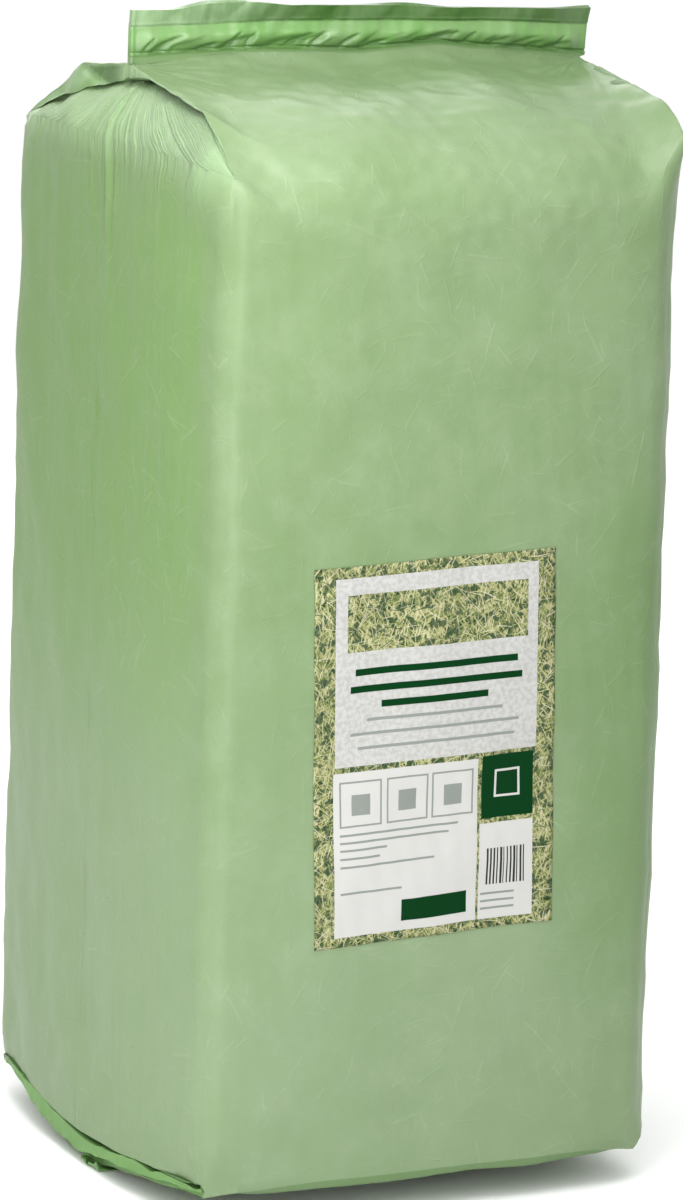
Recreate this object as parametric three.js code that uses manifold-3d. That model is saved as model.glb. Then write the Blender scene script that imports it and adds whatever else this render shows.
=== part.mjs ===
// A hay bale packed upright in a side-gusset bag of green film, with a printed label on its front.
// Millimetres, +Z up, front face towards -Y. The origin is on the ground, under the middle of the bale.
//
// The bag is one film. Its front and back panels meet over the top and under the bottom in two welded
// seals. Its two side panels are tucked in at the top and bottom, under lips that the front and back
// panels make from the corners to the ends of the seals.

import * as THREE from "three";
import { mergeVertices } from "three/addons/utils/BufferGeometryUtils.js";
import Module from "manifold-3d";

// Driving dimensions of the bag
const PANEL_WIDTH = 385; // front and back panels, crease to crease
const BALE_DEPTH = 400; // side panels, crease to crease
const LOW_CREASE = 27; // height of the four bottom corners
const HIGH_LEFT = 811; // height of the two top corners of the left side
const HIGH_RIGHT = 833;
const TOP_RIDGE = 880; // height of the ridge that carries the top seal
const CORNER_RADIUS = 28; // of the four upright edges
const CORNER_TAPER = 36; // height over which an upright edge sharpens into its corner
const SWELL = { left: 7, right: 4.5 }; // of the upright edges, between their corners
const FRONT_BULGE = 11;
const SIDE_BULGE = 20;
const RIGHT_SHARE = { low: 0.987, high: 0.965 }; // the right half is narrower than the left one

// The end profiles of the top, seen from the side: two runs from a corner to the ridge
const LEFT_FRONT_KINK = { inset: 60, rise: 43, softness: 4 };
const LEFT_BACK_KINK = { inset: 108, rise: 52, softness: 4 };
const RIGHT_KINK = { inset: 42, rise: 31, softness: 10 };

// The fuller profile over the middle of the top
const SHOULDER_START = 766; // height at which the front and back start to curve over
const SHOULDER_POWER = 2.5;
const TENT_HEIGHT = 18; // how far the film is drawn up to the seal
const TENT_SPREAD = 24;
const FILL_REACH = 42; // how far in from a side the middle profile takes over

// The underside
const FOOT_HALF = 84; // half the depth of the flat foot
const FOOT_EDGE_RISE = 45; // height at which the front starts to curve under
const FOOT_POWER = 2;
const LOW_LIP = 2; // height of the lips beside the bottom seal
const LOW_LIP_REACH = 11; // how far the bottom lips stand out, at their middle
const FLAT_BELOW = 0.5; // what lies under this height is pressed flat

// The lips that overhang the tucked side panels
const LIP_TUCK = 14; // how far in the film is tucked, at the middle of a side
const TOP_LIP_HEIGHT = 16;
const BOTTOM_LIP_HEIGHT = 9;
const SIDE_FOLD_HEIGHT = 24; // lower edge of the side panels
const SIDE_DOME = 45; // height over which the top of a side panel curves in

// Seals
const FILM_GAP = 0.3; // between pieces that touch
const SEAL_HEIGHT = 39;
const SEAL_THICK = 4;
const SEAL_LEFT = -192;
const SEAL_RIGHT = 204;
const SEAL_BAND = 0.66; // share of the height that is the puffed lower band
const SEAL_PUFF = 3.4;
const SEAL_LEAN = 4;
const SEAL_BOW = 3;
const LOW_SEAL = { left: -210, right: 200, width: 36, thick: 3, edge: -4 };

// Label
const LABEL = { width: 205, height: 297, thick: 0.8, x: -13.5, z: 370.5, turn: 2 };

// Mesh steps
const STEPS_ACROSS = 22; // of the front and back panels
const STEPS_CAP = 11; // from a corner to a ridge
const STEPS_WALL = 10;
const STEPS_TUCK = 5; // of a side panel's rounded top, down to its valley
const STEPS_LIP = 2;

const HALF_WIDTH = PANEL_WIDTH / 2;
const HALF_DEPTH = BALE_DEPTH / 2;

const FILM_COLOUR = 0x9cc389;
const SEAL_COLOUR = 0x84b569;
const LABEL_COLOUR = 0xd9d8c8;

const clamp01 = (t) => Math.min(1, Math.max(0, t));
const smooth = (t) => clamp01(t) ** 2 * (3 - 2 * clamp01(t));
const mix = (a, b, t) => a + (b - a) * t;
const softMin = (a, b, k) => (a + b - Math.sqrt((a - b) ** 2 + k * k)) / 2;

// 0 at a side of the front panel, 1 over its filled middle
const filled = (x) => 1 - Math.exp(-(((HALF_WIDTH - Math.abs(x)) / FILL_REACH) ** 1.6));

const topCorner = (hand) => (hand < 0 ? HIGH_LEFT : HIGH_RIGHT);

// 0 at the height of the bottom and top corners, where the upright edges are sharp, 1 between them
const awayFromCorners = (z, hand) => smooth(Math.min(z - LOW_CREASE, topCorner(hand) - z) / CORNER_TAPER);

// Height of the top's end profile above its corners, at a distance in from the front or back
function endRise(inset, kink, full) {
  const steep = (inset * kink.rise) / kink.inset;
  const shallow = full - ((HALF_DEPTH - inset) * (full - kink.rise)) / (HALF_DEPTH - kink.inset);
  const rise = softMin(steep, shallow, kink.softness);
  const atCorner = softMin(
    0,
    full - (HALF_DEPTH * (full - kink.rise)) / (HALF_DEPTH - kink.inset),
    kink.softness,
  );
  const atRidge = softMin((HALF_DEPTH * kink.rise) / kink.inset, full, kink.softness);
  return ((rise - atCorner) * full) / (atRidge - atCorner);
}

// A quarter of a superellipse: [share inwards, share upwards] at a share t of the way
function shoulder(t, power) {
  const angle = (t * Math.PI) / 2;
  return [1 - Math.cos(angle) ** (2 / power), Math.sin(angle) ** (2 / power)];
}

// The top from a corner (t = 0) to the ridge (t = 1). Side is -1 for the front and 1 for the back
function topPoint(x, t, side) {
  const inset = t * HALF_DEPTH;
  const leftKink = side < 0 ? LEFT_FRONT_KINK : LEFT_BACK_KINK;
  const corner = topCorner(x);
  const endZ = corner + endRise(inset, x < 0 ? leftKink : RIGHT_KINK, TOP_RIDGE - corner);
  const [inwards, upwards] = shoulder(t, SHOULDER_POWER);
  const away = (HALF_DEPTH + FRONT_BULGE) * (1 - inwards);
  const tent = TENT_HEIGHT * Math.exp(-away / TENT_SPREAD);
  const midZ = mix(SHOULDER_START, TOP_RIDGE - TENT_HEIGHT, upwards) + tent * smooth(t * 1.2);
  const w = filled(x);
  return [x, side * mix(HALF_DEPTH - inset, away, w), mix(endZ, midZ, w)];
}

// The underside from a corner (t = 0) to the middle (t = 1)
function bottomPoint(x, t, side) {
  const inset = t * HALF_DEPTH;
  const endZ = mix(LOW_CREASE, LOW_LIP, 1 - (1 - t) ** 1.25);
  const curl = clamp01(t / 0.6);
  const [inwards, upwards] = shoulder(curl, FOOT_POWER);
  const outer = HALF_DEPTH + FRONT_BULGE;
  const curledY = outer - (outer - FOOT_HALF) * inwards;
  const y = t < 0.6 ? curledY : (FOOT_HALF * (1 - t)) / 0.4;
  const w = filled(x);
  const z = mix(endZ, FOOT_EDGE_RISE * (1 - upwards), w);
  const reach = LOW_LIP_REACH * (1 - (1 - t) ** 2) * (1 - w);
  return [
    x + Math.sign(x) * reach,
    side * mix(HALF_DEPTH - inset, y, w),
    Math.max(0, z - FLAT_BELOW * smooth(t * 3)),
  ];
}

// Moves a point of the sharp plan onto the swollen, rounded plan at height z. Along is its coordinate
// along the face, half and other are the half sizes of that face and of the next one
function roundedPlan(along, half, other, z, hand) {
  const away = awayFromCorners(z, hand);
  const radius = CORNER_RADIUS * away;
  const swell = away * (hand < 0 ? SWELL.left : SWELL.right);
  const wide = half + swell;
  const place = (along * wide) / half;
  const past = Math.abs(place) - (wide - radius);
  if (past <= 0 || radius <= 0) return [place, other + swell, swell];
  const angle = ((past / radius) * Math.PI) / 4;
  return [
    Math.sign(along) * (wide - radius + radius * Math.sin(angle)),
    other + swell - radius + radius * Math.cos(angle),
    swell,
  ];
}

function frontWallPoint(x, share, side) {
  const low = bottomPoint(x, 0, side)[2];
  const high = topPoint(x, 0, side)[2];
  const z = mix(low, high, share);
  const [px, py, swell] = roundedPlan(x, HALF_WIDTH, HALF_DEPTH, z, Math.sign(x));
  return [px, side * (py + (FRONT_BULGE - swell) * filled(x)), z];
}

// The closed strip of front panel, top, back panel and underside, as rows of points
function stripRows() {
  const places = Array.from({ length: STEPS_ACROSS + 1 }, (_, i) => (i / STEPS_ACROSS - 0.5) * PANEL_WIDTH);
  const rows = [];
  const addRow = (point) => rows.push(places.map(point));
  for (let i = STEPS_CAP; i > 0; i--) addRow((x) => bottomPoint(x, i / STEPS_CAP, -1));
  for (let i = 0; i <= STEPS_WALL; i++) addRow((x) => frontWallPoint(x, i / STEPS_WALL, -1));
  for (let i = 1; i <= STEPS_CAP; i++) addRow((x) => topPoint(x, i / STEPS_CAP, -1));
  for (let i = STEPS_CAP - 1; i > 0; i--) addRow((x) => topPoint(x, i / STEPS_CAP, 1));
  for (let i = STEPS_WALL; i >= 0; i--) addRow((x) => frontWallPoint(x, i / STEPS_WALL, 1));
  for (let i = 1; i <= STEPS_CAP; i++) addRow((x) => bottomPoint(x, i / STEPS_CAP, 1));
  return rows;
}

// One side panel as columns from the bottom lip's edge, up the wall, to the top lip's edge.
// Hand is -1 for the left panel and 1 for the right one
function sideColumns(hand) {
  const columns = [];
  for (let i = 0; i <= 2 * STEPS_CAP; i++) {
    const side = i < STEPS_CAP ? -1 : 1;
    const t = 1 - Math.abs(i - STEPS_CAP) / STEPS_CAP;
    const along = side * (1 - t);
    const y = along * HALF_DEPTH;
    const open = 1 - along * along;
    const topEdge = topPoint(hand * HALF_WIDTH, t, side);
    const bottomEdge = bottomPoint(hand * HALF_WIDTH, t, side);
    const tuck = LIP_TUCK * open;
    const lift = 1 - Math.abs(along) ** 5;
    const topValley = [hand * (HALF_WIDTH - tuck), y, topEdge[2] - TOP_LIP_HEIGHT * lift];
    const bottomValley = [hand * (HALF_WIDTH - tuck), y, bottomEdge[2] + BOTTOM_LIP_HEIGHT * lift];
    const wallTop = topCorner(hand) - SIDE_DOME * (1 - along ** 4);
    const wallBottom = mix(LOW_CREASE, SIDE_FOLD_HEIGHT, open);
    const column = [];
    for (let k = 0; k < STEPS_LIP; k++) {
      column.push(bottomEdge.map((v, a) => mix(v, bottomValley[a], k / STEPS_LIP)));
    }
    column.push(bottomValley);
    for (let k = 0; k <= STEPS_WALL; k++) {
      const z = mix(wallBottom, wallTop, k / STEPS_WALL);
      const [py, px, swell] = roundedPlan(y, HALF_DEPTH, HALF_WIDTH, z, hand);
      column.push([hand * (px + (SIDE_BULGE - swell) * open), py, z]);
    }
    const last = column[column.length - 1];
    for (let k = 1; k <= STEPS_TUCK; k++) {
      const [inwards, upwards] = shoulder(k / STEPS_TUCK, 1.8);
      column.push([
        mix(last[0], topValley[0], inwards),
        mix(last[1], y, upwards),
        mix(last[2], topValley[2], upwards),
      ]);
    }
    for (let k = 1; k <= STEPS_LIP; k++) {
      column.push(topValley.map((v, a) => mix(v, topEdge[a], k / STEPS_LIP)));
    }
    columns.push(column);
  }
  return columns;
}

// The right half of the bale is a little narrower, and more so at the top
const settled = ([x, y, z]) => [
  x > 0 ? x * mix(RIGHT_SHARE.low, RIGHT_SHARE.high, z / TOP_RIDGE) : x,
  y,
  z,
];

// Two triangles for each square of a grid of points
function gridTriangles(grid, flip) {
  const out = [];
  for (let i = 0; i + 1 < grid.length; i++) {
    for (let j = 0; j + 1 < grid[i].length; j++) {
      const [a, b, c, d] = [grid[i][j], grid[i][j + 1], grid[i + 1][j + 1], grid[i + 1][j]];
      const faces = [
        [a, b, c],
        [a, c, d],
      ];
      for (const face of faces) out.push(...(flip ? face.reverse() : face).flat());
    }
  }
  return out;
}

function geometryOf(triangles) {
  const loose = new THREE.BufferGeometry();
  loose.setAttribute("position", new THREE.Float32BufferAttribute(triangles, 3));
  return mergeVertices(loose, 1e-2);
}

function solidOf(geometry) {
  const index = Array.from(geometry.index.array);
  const kept = [];
  for (let i = 0; i < index.length; i += 3) {
    const [a, b, c] = index.slice(i, i + 3);
    if (a !== b && b !== c && c !== a) kept.push(a, b, c);
  }
  return new wasm.Manifold(
    new wasm.Mesh({
      numProp: 3,
      vertProperties: new Float32Array(geometry.attributes.position.array),
      triVerts: new Uint32Array(kept),
    }),
  );
}

function geometryFrom(solid) {
  const { vertProperties, triVerts } = solid.getMesh();
  const made = new THREE.BufferGeometry();
  made.setAttribute("position", new THREE.BufferAttribute(vertProperties, 3));
  made.setIndex(new THREE.BufferAttribute(triVerts, 1));
  made.computeVertexNormals();
  return made;
}

function boxSolid(size, centre) {
  const box = new THREE.BoxGeometry(...size);
  box.translate(...centre);
  box.deleteAttribute("normal");
  box.deleteAttribute("uv");
  return solidOf(mergeVertices(box, 1e-3));
}

// The hay-filled bag, with a shallow channel where the bottom seal lies folded flat under it
function filledBag() {
  const place = (grid) => grid.map((row) => row.map(settled));
  const strip = gridTriangles(place(stripRows()), false);
  const left = gridTriangles(place(sideColumns(-1)), false);
  const right = gridTriangles(place(sideColumns(1)), true);
  const body = solidOf(geometryOf([...strip, ...left, ...right]));
  const channel = boxSolid(
    [PANEL_WIDTH * 2, LOW_SEAL.width + 2 * FILM_GAP, 2 * (LOW_SEAL.thick + FILM_GAP)],
    [0, LOW_SEAL.edge - LOW_SEAL.width / 2, 0],
  );
  return geometryFrom(body.subtract(channel));
}

// The welded band that stands on the ridge: a puffed lower band and a flat strip that leans forward
function topSeal() {
  const band = new THREE.BoxGeometry(1, 1, 1, 30, 2, 8);
  const place = band.attributes.position;
  for (let i = 0; i < place.count; i++) {
    const along = place.getX(i) + 0.5;
    const across = place.getY(i) * 2;
    const up = place.getZ(i) + 0.5;
    const bow = Math.sin(along * Math.PI);
    const puff = up < SEAL_BAND ? Math.sin((up / SEAL_BAND) * Math.PI) : 0;
    const lean = up < SEAL_BAND ? 0 : (up - SEAL_BAND) / (1 - SEAL_BAND);
    const half = SEAL_THICK / 2 + SEAL_PUFF * puff * (across < 0 ? 1 : 0.3);
    place.setXYZ(
      i,
      mix(SEAL_LEFT, SEAL_RIGHT, along),
      across * half - SEAL_LEAN * lean,
      TOP_RIDGE + FILM_GAP + up * (SEAL_HEIGHT + SEAL_BOW * bow),
    );
  }
  band.computeVertexNormals();
  return band;
}

function bottomSeal() {
  const { left, right, width, thick, edge } = LOW_SEAL;
  const band = new THREE.BoxGeometry(right - left, width, thick);
  band.translate((left + right) / 2, edge - width / 2, thick / 2);
  return band;
}

function piece(name, geometry, colour, roughness) {
  const mesh = new THREE.Mesh(
    geometry,
    new THREE.MeshStandardMaterial({ color: colour, roughness, metalness: 0 }),
  );
  mesh.name = name;
  return mesh;
}

const wasm = await Module();
wasm.setup();

const bale = new THREE.Group();
bale.name = "packed_hay_bale";
bale.add(piece("filled_bag", filledBag(), FILM_COLOUR, 0.4));
bale.add(piece("top_seal", topSeal(), SEAL_COLOUR, 0.45));
bale.add(piece("bottom_seal", bottomSeal(), SEAL_COLOUR, 0.45));

const sheet = new THREE.BoxGeometry(LABEL.width, LABEL.thick, LABEL.height);
const label = piece("label", sheet, LABEL_COLOUR, 0.55);
label.position.set(LABEL.x, -(HALF_DEPTH + FRONT_BULGE + FILM_GAP + LABEL.thick / 2), LABEL.z);
label.rotation.y = -THREE.MathUtils.degToRad(LABEL.turn);
bale.add(label);

const middle = new THREE.Box3().setFromObject(bale).getCenter(new THREE.Vector3());
for (const mesh of bale.children) mesh.position.sub(new THREE.Vector3(middle.x, middle.y, 0));

export default bale;
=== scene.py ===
"""A hay bale in a bag of light green film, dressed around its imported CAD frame.

The shapes are worked out in millimetres, in the frame that the CAD bag was drawn in, and are
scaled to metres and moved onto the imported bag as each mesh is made.
"""

import math

import bpy
import numpy as np
from bpy.props import FloatProperty, FloatVectorProperty, IntProperty, PointerProperty
from mathutils import Matrix, Vector
from mathutils.bvhtree import BVHTree


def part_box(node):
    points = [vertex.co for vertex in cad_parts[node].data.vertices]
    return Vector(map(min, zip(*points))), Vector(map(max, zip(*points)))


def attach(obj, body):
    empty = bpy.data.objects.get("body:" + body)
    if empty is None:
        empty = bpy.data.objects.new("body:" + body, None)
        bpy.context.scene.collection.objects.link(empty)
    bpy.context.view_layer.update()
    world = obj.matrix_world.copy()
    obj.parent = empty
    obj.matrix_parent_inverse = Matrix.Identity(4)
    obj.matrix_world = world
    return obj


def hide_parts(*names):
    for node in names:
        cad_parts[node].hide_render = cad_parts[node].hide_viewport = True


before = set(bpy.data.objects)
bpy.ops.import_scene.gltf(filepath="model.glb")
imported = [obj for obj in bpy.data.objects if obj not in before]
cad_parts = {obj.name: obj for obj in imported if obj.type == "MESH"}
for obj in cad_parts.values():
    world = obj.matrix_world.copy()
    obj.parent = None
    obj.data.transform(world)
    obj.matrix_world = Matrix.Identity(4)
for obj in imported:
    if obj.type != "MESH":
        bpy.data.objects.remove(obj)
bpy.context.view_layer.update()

bl_info = {
    "name": "Bagged hay bale",
    "version": (1, 0, 0),
    "blender": (4, 5, 0),
    "location": "3D View > Sidebar > Bale",
    "description": "Builds the film bag, its seals, its label and a plain stage",
    "category": "Object",
}

BODY = "root"

# The bag, in millimetres
HALF_WIDTH = 192.5
HALF_DEPTH = 200
LOW_CREASE_LEFT = 25.5
LOW_CREASE_RIGHT = 27
HIGH_LEFT = 811
HIGH_RIGHT = 833
CORNER_RADIUS = 28
NEAR_RADIUS = 19
LOW_CORNER_TAPER = 36
TOP_CORNER_TAPER_LEFT = 12
TOP_CORNER_TAPER_RIGHT = 60
SWELL_LEFT = 7
SWELL_RIGHT = 4.5
FRONT_BULGE = 11
SIDE_BULGE = 20
RIGHT_SHARES = (
    (0, 0.905),
    (21, 0.915),
    (26, 0.945),
    (30, 0.975),
    (36, 0.992),
    (46, 1.0),
    (70, 1.003),
    (141, 0.993),
    (315, 0.988),
    (654, 0.966),
    (785, 0.955),
    (812, 0.959),
    (833, 0.975),
    (848, 0.984),
    (862, 0.992),
    (880, 1.035),
)

# Where the pleats of a side gather, along its depth, and its main pleats there: place, width,
# height and how far down they reach
SIDE_APEX = -18
SIDE_PLEATS = (
    (-6, 4.4, 4.6, 84),
    (-20, 2.8, 2.4, 60),
    (9, 2.6, 2.0, 52),
    (24, 3.0, 2.4, 44),
    (-40, 3.0, 1.8, 44),
    (-97, 3.4, 2.4, 42),
)

# The end profiles of the top: distance in from the crease, rise, how softly the two runs meet,
# and how far the lower run is rounded out
LEFT_FRONT_KINK = (58, 43.5, 1.5, 0)
LEFT_BACK_KINK = (115, 53.4, 1.2, 3)
RIGHT_FRONT_KINK = (50, 27.5, 8, 4.5)
RIGHT_BACK_KINK = (56, 36, 8, 5)

# How far above a side's corners its pleats are measured from
PLEAT_LIFT = 9

# The puffed corner under the near end of the left side's top edge
LOBE_CENTRE = (-190, -170, 816)
LOBE_RADII = (34, 34, 32)
LOBE_HEIGHT = 8.5

SHOULDER_START = 766
SHOULDER_POWER = 2.5
TENT_HEIGHT = 18
TENT_SPREAD = 24
FILL_REACH_LEFT = 42
FILL_REACH_RIGHT = 31

FOOT_HALF = 84
FOOT_EDGE_RISE = 34
FOOT_ROLL = (0.07, 2.0, 7.0)
FOOT_POWER = 1.12
LOW_LIP_REACH = 11
SIDE_DOME = -8
SIDE_DOME_POWER = 1.5

# Heights of the ridge and of the top seal's lines along the bag's width
RIDGE_LINE = (
    *((-192, 875), (-176, 880.5), (-141, 883), (-80, 884.7), (0, 882.7)),
    *((69, 887.5), (110, 884), (160, 880.5), (199, 876.5)),
)
SEAL_LOW_LINE = ((-192, 881.5), (-141, 884), (-80, 886), (0, 884), (69, 889), (110, 885.5), (201, 879))
SEAL_HIGH_LINE = ((-192, 903), (-135, 904.3), (-70, 906.8), (1, 906.3), (127, 904.7), (201, 901.4))
SEAL_TOP_LINE = (
    *((-194, 916.5), (-157, 916.4), (-128, 921), (-89, 921.9)),
    *((-59, 919.3), (37, 917.7), (81, 915.8), (204, 914.3)),
)
SEAL_LEFT = -193
SEAL_RIGHT = 203.5
SEAL_TUCK = 5
SEAL_BAND_RISE = 20
SEAL_STRIP_RISE = 14

# Heights of the bottom folds along the left side's depth: the flap's edge, and the side panel's hem
LEFT_FLAP = (
    *((-200, 25.5), (-170, 22.5), (-115, 16.5), (-59, 8.5), (-16, 0.6)),
    *((25, 2.2), (75, 10), (129, 20), (165, 24), (200, 25.5)),
)
LEFT_HEM = (
    *((-200, 25.5), (-197.5, 36), (-177, 34.5), (-126, 31.5), (-65, 27.5), (-12, 25.5)),
    *((40, 27.5), (114, 33), (165, 35.5), (187, 33), (200, 25.5)),
)
RIGHT_FLAP = ((-200, 27), (-120, 18), (-50, 6), (0, 1.5), (50, 7), (120, 19), (200, 27))
RIGHT_HEM = ((-200, 27), (-196, 34), (-110, 31), (0, 27), (110, 31), (180, 34), (200, 27))

# The top edge of a side, along its depth: how far the film is tucked in under the edge, how far
# the edge hangs down, how far it stands out, and how far below it the tucked film lies
TOP_TUCK = (
    *((-200, 0), (-185, 0.6), (-160, 2), (-142, 4.5), (-100, 9)),
    *((-20, 11), (30, 8), (85, 6), (150, 3), (200, 0)),
)
TOP_DROP = (
    *((-200, 0), (-190, 1.2), (-40, 1.2), (-15, 6), (5, 12), (41, 16.4)),
    *((68, 17), (85, 20.5), (119, 15), (159, 8), (195, 1.5), (200, 0)),
)
TOP_OUT = (
    *((-200, 0), (-142, 0.8), (-20, 0.8), (20, 2), (60, 4.2)),
    *((85, 5.2), (112, 4.6), (150, 2.4), (200, 0)),
)
TOP_GAP = (
    *((-200, 0), (-185, 0.4), (-160, 0.9), (-142, 2.2), (-60, 4.5)),
    *((-15, 4), (15, -1), (85, -3), (159, -1.5), (200, 0)),
)
# Where the hem stands off the flap, along the depth: middle and half length of each gap
THIN_GAPS = ((-40, 48),)
WIDE_GAPS = ((-128, 11), (-190, 8))
LOW_SEAL_LEFT = -210
LOW_SEAL_RIGHT = 190
LOW_SEAL_FRONT = -40
LOW_SEAL_BACK = -4

LABEL_WIDTH = 205
LABEL_HEIGHT = 297
LABEL_CENTRE = (-13.5, 370.5)
LABEL_TURN = 2
LABEL_LIFT = 0.35
LABEL_THICKNESS = 0.4
# The label's bars, as shares of its height and width: top, then left and right
LABEL_TITLES = ((0.270, 0.17, 0.84), (0.315, 0.15, 0.86), (0.358, 0.28, 0.72))
LABEL_LINES = ((0.402, 0.22, 0.78), (0.438, 0.15, 0.85), (0.475, 0.18, 0.83))
LABEL_NOTES = ((0.702, 0.60), (0.722, 0.56), (0.742, 0.30), (0.764, 0.27), (0.786, 0.50), (0.856, 0.36))

# The photograph's camera, fitted to the bag's corners: degrees, and millimetres in the bag's own frame
CAMERA_AZIMUTH = -26.2
CAMERA_ELEVATION = 11.6
CAMERA_ROLL = 2.09
CAMERA_DISTANCE = 4394
CAMERA_TARGET = (6, 0, 443)
FOCAL_PIXELS = 5500
PHOTO_HEIGHT = 1200
SENSOR = 36

MM = 0.001

# What the points of a side are marked with, 0 on the other panels unless they give their own,
# and the marks that the film's finish reads: inner is painted shade in folds and gaps, drawn is
# painted sheen over the sides' rounded tops, side is painted shade on the side panels
SIDE_MARKS = ("hand", "open", "rise", "lip", "hem", "gather", "pleated", "side", "inner", "drawn")
FINISH_MARKS = ("clear", "pleated", "side", "inner", "drawn")

# Folds sharper than this many degrees are creases
BAG_CREASE = 58
SEAL_CREASE = 70

# What each random stream adds to the one seed
SEAL_SEED = 40
LOW_SEAL_SEED = 60
HEM_SEED = 71


def cad_shift():
    """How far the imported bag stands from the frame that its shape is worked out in, in millimetres."""
    low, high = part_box("filled_bag")
    return np.array(
        [
            low.x / MM + HALF_WIDTH + SIDE_BULGE,
            (low.y + high.y) / 2 / MM,
            0,
        ]
    )


SHIFT = cad_shift()


def clamp01(t):
    return np.clip(t, 0, 1)


def curve(x, points):
    """A level, softly joined line through points given as pairs."""
    places, heights = np.array(points, float).T
    x = np.clip(x, places[0], places[-1])
    low = np.clip(np.searchsorted(places, x, side="right") - 1, 0, len(places) - 2)
    t = (x - places[low]) / (places[low + 1] - places[low])
    t = 0.5 * t + 0.5 * t * t * (3 - 2 * t)
    return heights[low] + (heights[low + 1] - heights[low]) * t


def smooth(t):
    t = clamp01(t)
    return t * t * (3 - 2 * t)


def mix(a, b, t):
    return a + (b - a) * t


def soft_min(a, b, k):
    """The smaller of two values, with the change between them rounded over about k."""
    return (a + b - np.sqrt((a - b) ** 2 + k * k)) / 2


def waves(points, shortest, longest, seed, count=28):
    """Smooth noise of about unit size: many plane waves with random directions and lengths."""
    rng = np.random.default_rng(seed)
    heading = rng.normal(size=(count, 3))
    heading /= np.linalg.norm(heading, axis=1)[:, None]
    length = np.exp(rng.uniform(math.log(shortest), math.log(longest), count))
    phase = rng.uniform(0, 2 * math.pi, count)
    out = np.zeros(len(points))
    for direction, size, start in zip(heading, length, phase):
        out += np.sin(points @ direction * (2 * math.pi / size) + start)
    return out * math.sqrt(2 / count)


def ridges(points, shortest, longest, seed):
    """Noise with sharp crests, as in crumpled film. From about 0 to 1."""
    return clamp01(1 - 1.4 * np.abs(waves(points, shortest, longest, seed)))


def filled(x):
    """How far the hay fills out the film: 0 at a side's crease, 1 towards the middle."""
    reach = np.where(x < 0, FILL_REACH_LEFT, FILL_REACH_RIGHT)
    return 1 - np.exp(-(((HALF_WIDTH - np.abs(x)) / reach) ** 1.6))


def top_corner(hand):
    return np.where(np.asarray(hand) < 0, HIGH_LEFT, HIGH_RIGHT)


def low_corner(hand):
    return np.where(np.asarray(hand) < 0, LOW_CREASE_LEFT, LOW_CREASE_RIGHT)


def below_top(z, hand):
    """Depth below the line that a side's pleats hang from."""
    return np.maximum(top_corner(hand) + PLEAT_LIFT - z, 0)


def away_from_corners(z, hand):
    """0 at the height of a side's top and bottom corners, 1 between them."""
    above = (z - low_corner(hand)) / LOW_CORNER_TAPER
    taper = np.where(np.asarray(hand) < 0, TOP_CORNER_TAPER_LEFT, TOP_CORNER_TAPER_RIGHT)
    below = (top_corner(hand) - z) / taper
    return smooth(np.minimum(above, below))


def end_rise(inset, kink, full):
    """Height of the top's end profile above its corners, at a distance in from the front or back."""
    place, rise, softness, bulge = kink
    rest = (full - rise) / (HALF_DEPTH - place)
    steep = inset * rise / place
    shallow = full - (HALF_DEPTH - inset) * rest
    at_corner = soft_min(0, full - HALF_DEPTH * rest, softness)
    at_ridge = soft_min(HALF_DEPTH * rise / place, full, softness)
    found = soft_min(steep, shallow, softness)
    share = clamp01(inset / (1.4 * place))
    rounded = bulge * 4 * share**0.7 * (1 - share) ** 1.5
    return (found - at_corner) * full / (at_ridge - at_corner) + rounded


def shoulder(t, power):
    """A quarter of a superellipse: shares inwards and upwards at a share t of the way."""
    angle = t * math.pi / 2
    return 1 - np.cos(angle).clip(0) ** (2 / power), np.sin(angle).clip(0) ** (2 / power)


def top_point(x, t, side):
    """The top, from a corner crease (t = 0) to the ridge (t = 1)."""
    inset = t * HALF_DEPTH
    left_kink = LEFT_FRONT_KINK if side < 0 else LEFT_BACK_KINK
    left = HIGH_LEFT + end_rise(inset, left_kink, RIDGE_LINE[0][1] - HIGH_LEFT)
    right_kink = RIGHT_FRONT_KINK if side < 0 else RIGHT_BACK_KINK
    right = HIGH_RIGHT + end_rise(inset, right_kink, RIDGE_LINE[-1][1] - HIGH_RIGHT)
    inwards, upwards = shoulder(t, SHOULDER_POWER)
    away = (HALF_DEPTH + FRONT_BULGE) * (1 - inwards)
    tent = TENT_HEIGHT * np.exp(-away / TENT_SPREAD) * smooth(t * 1.2)
    ridge = curve(x, RIDGE_LINE)
    middle = mix(SHOULDER_START, ridge - TENT_HEIGHT, upwards) + tent
    w = filled(x)
    z = mix(np.where(x < 0, left, right), middle, w)
    return x + 0 * z, side * mix(HALF_DEPTH - inset, away, w), z


def bottom_point(x, t, side):
    """The underside, from a corner crease (t = 0) to the middle (t = 1)."""
    inset = t * HALF_DEPTH
    place = side * (HALF_DEPTH - inset)
    end = np.where(x < 0, curve(place, LEFT_FLAP), curve(place, RIGHT_FLAP))
    roll_share, roll_in, roll_drop = FOOT_ROLL
    rolled = clamp01(t / roll_share)
    inwards, upwards = shoulder(clamp01((t - roll_share) / (0.6 - roll_share)), FOOT_POWER)
    outer = HALF_DEPTH + FRONT_BULGE
    under = outer - roll_in * rolled**2
    y = np.where(t < 0.6, under - (under - FOOT_HALF) * inwards, FOOT_HALF * (1 - t) / 0.4)
    w = filled(x)
    z = mix(end, (FOOT_EDGE_RISE - roll_drop * rolled) * (1 - upwards), w)
    reach = LOW_LIP_REACH * (1 - (1 - t) ** 2) * (1 - w)
    lowered = z - 0.5 * smooth(t * 3)
    return x + np.sign(x) * reach, side * mix(HALF_DEPTH - inset, y, w), np.maximum(0, lowered)


def corner_radius(x, y):
    """The near left corner is tighter than the others."""
    return np.where((x < 0) & (y < 0), NEAR_RADIUS, CORNER_RADIUS)


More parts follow.
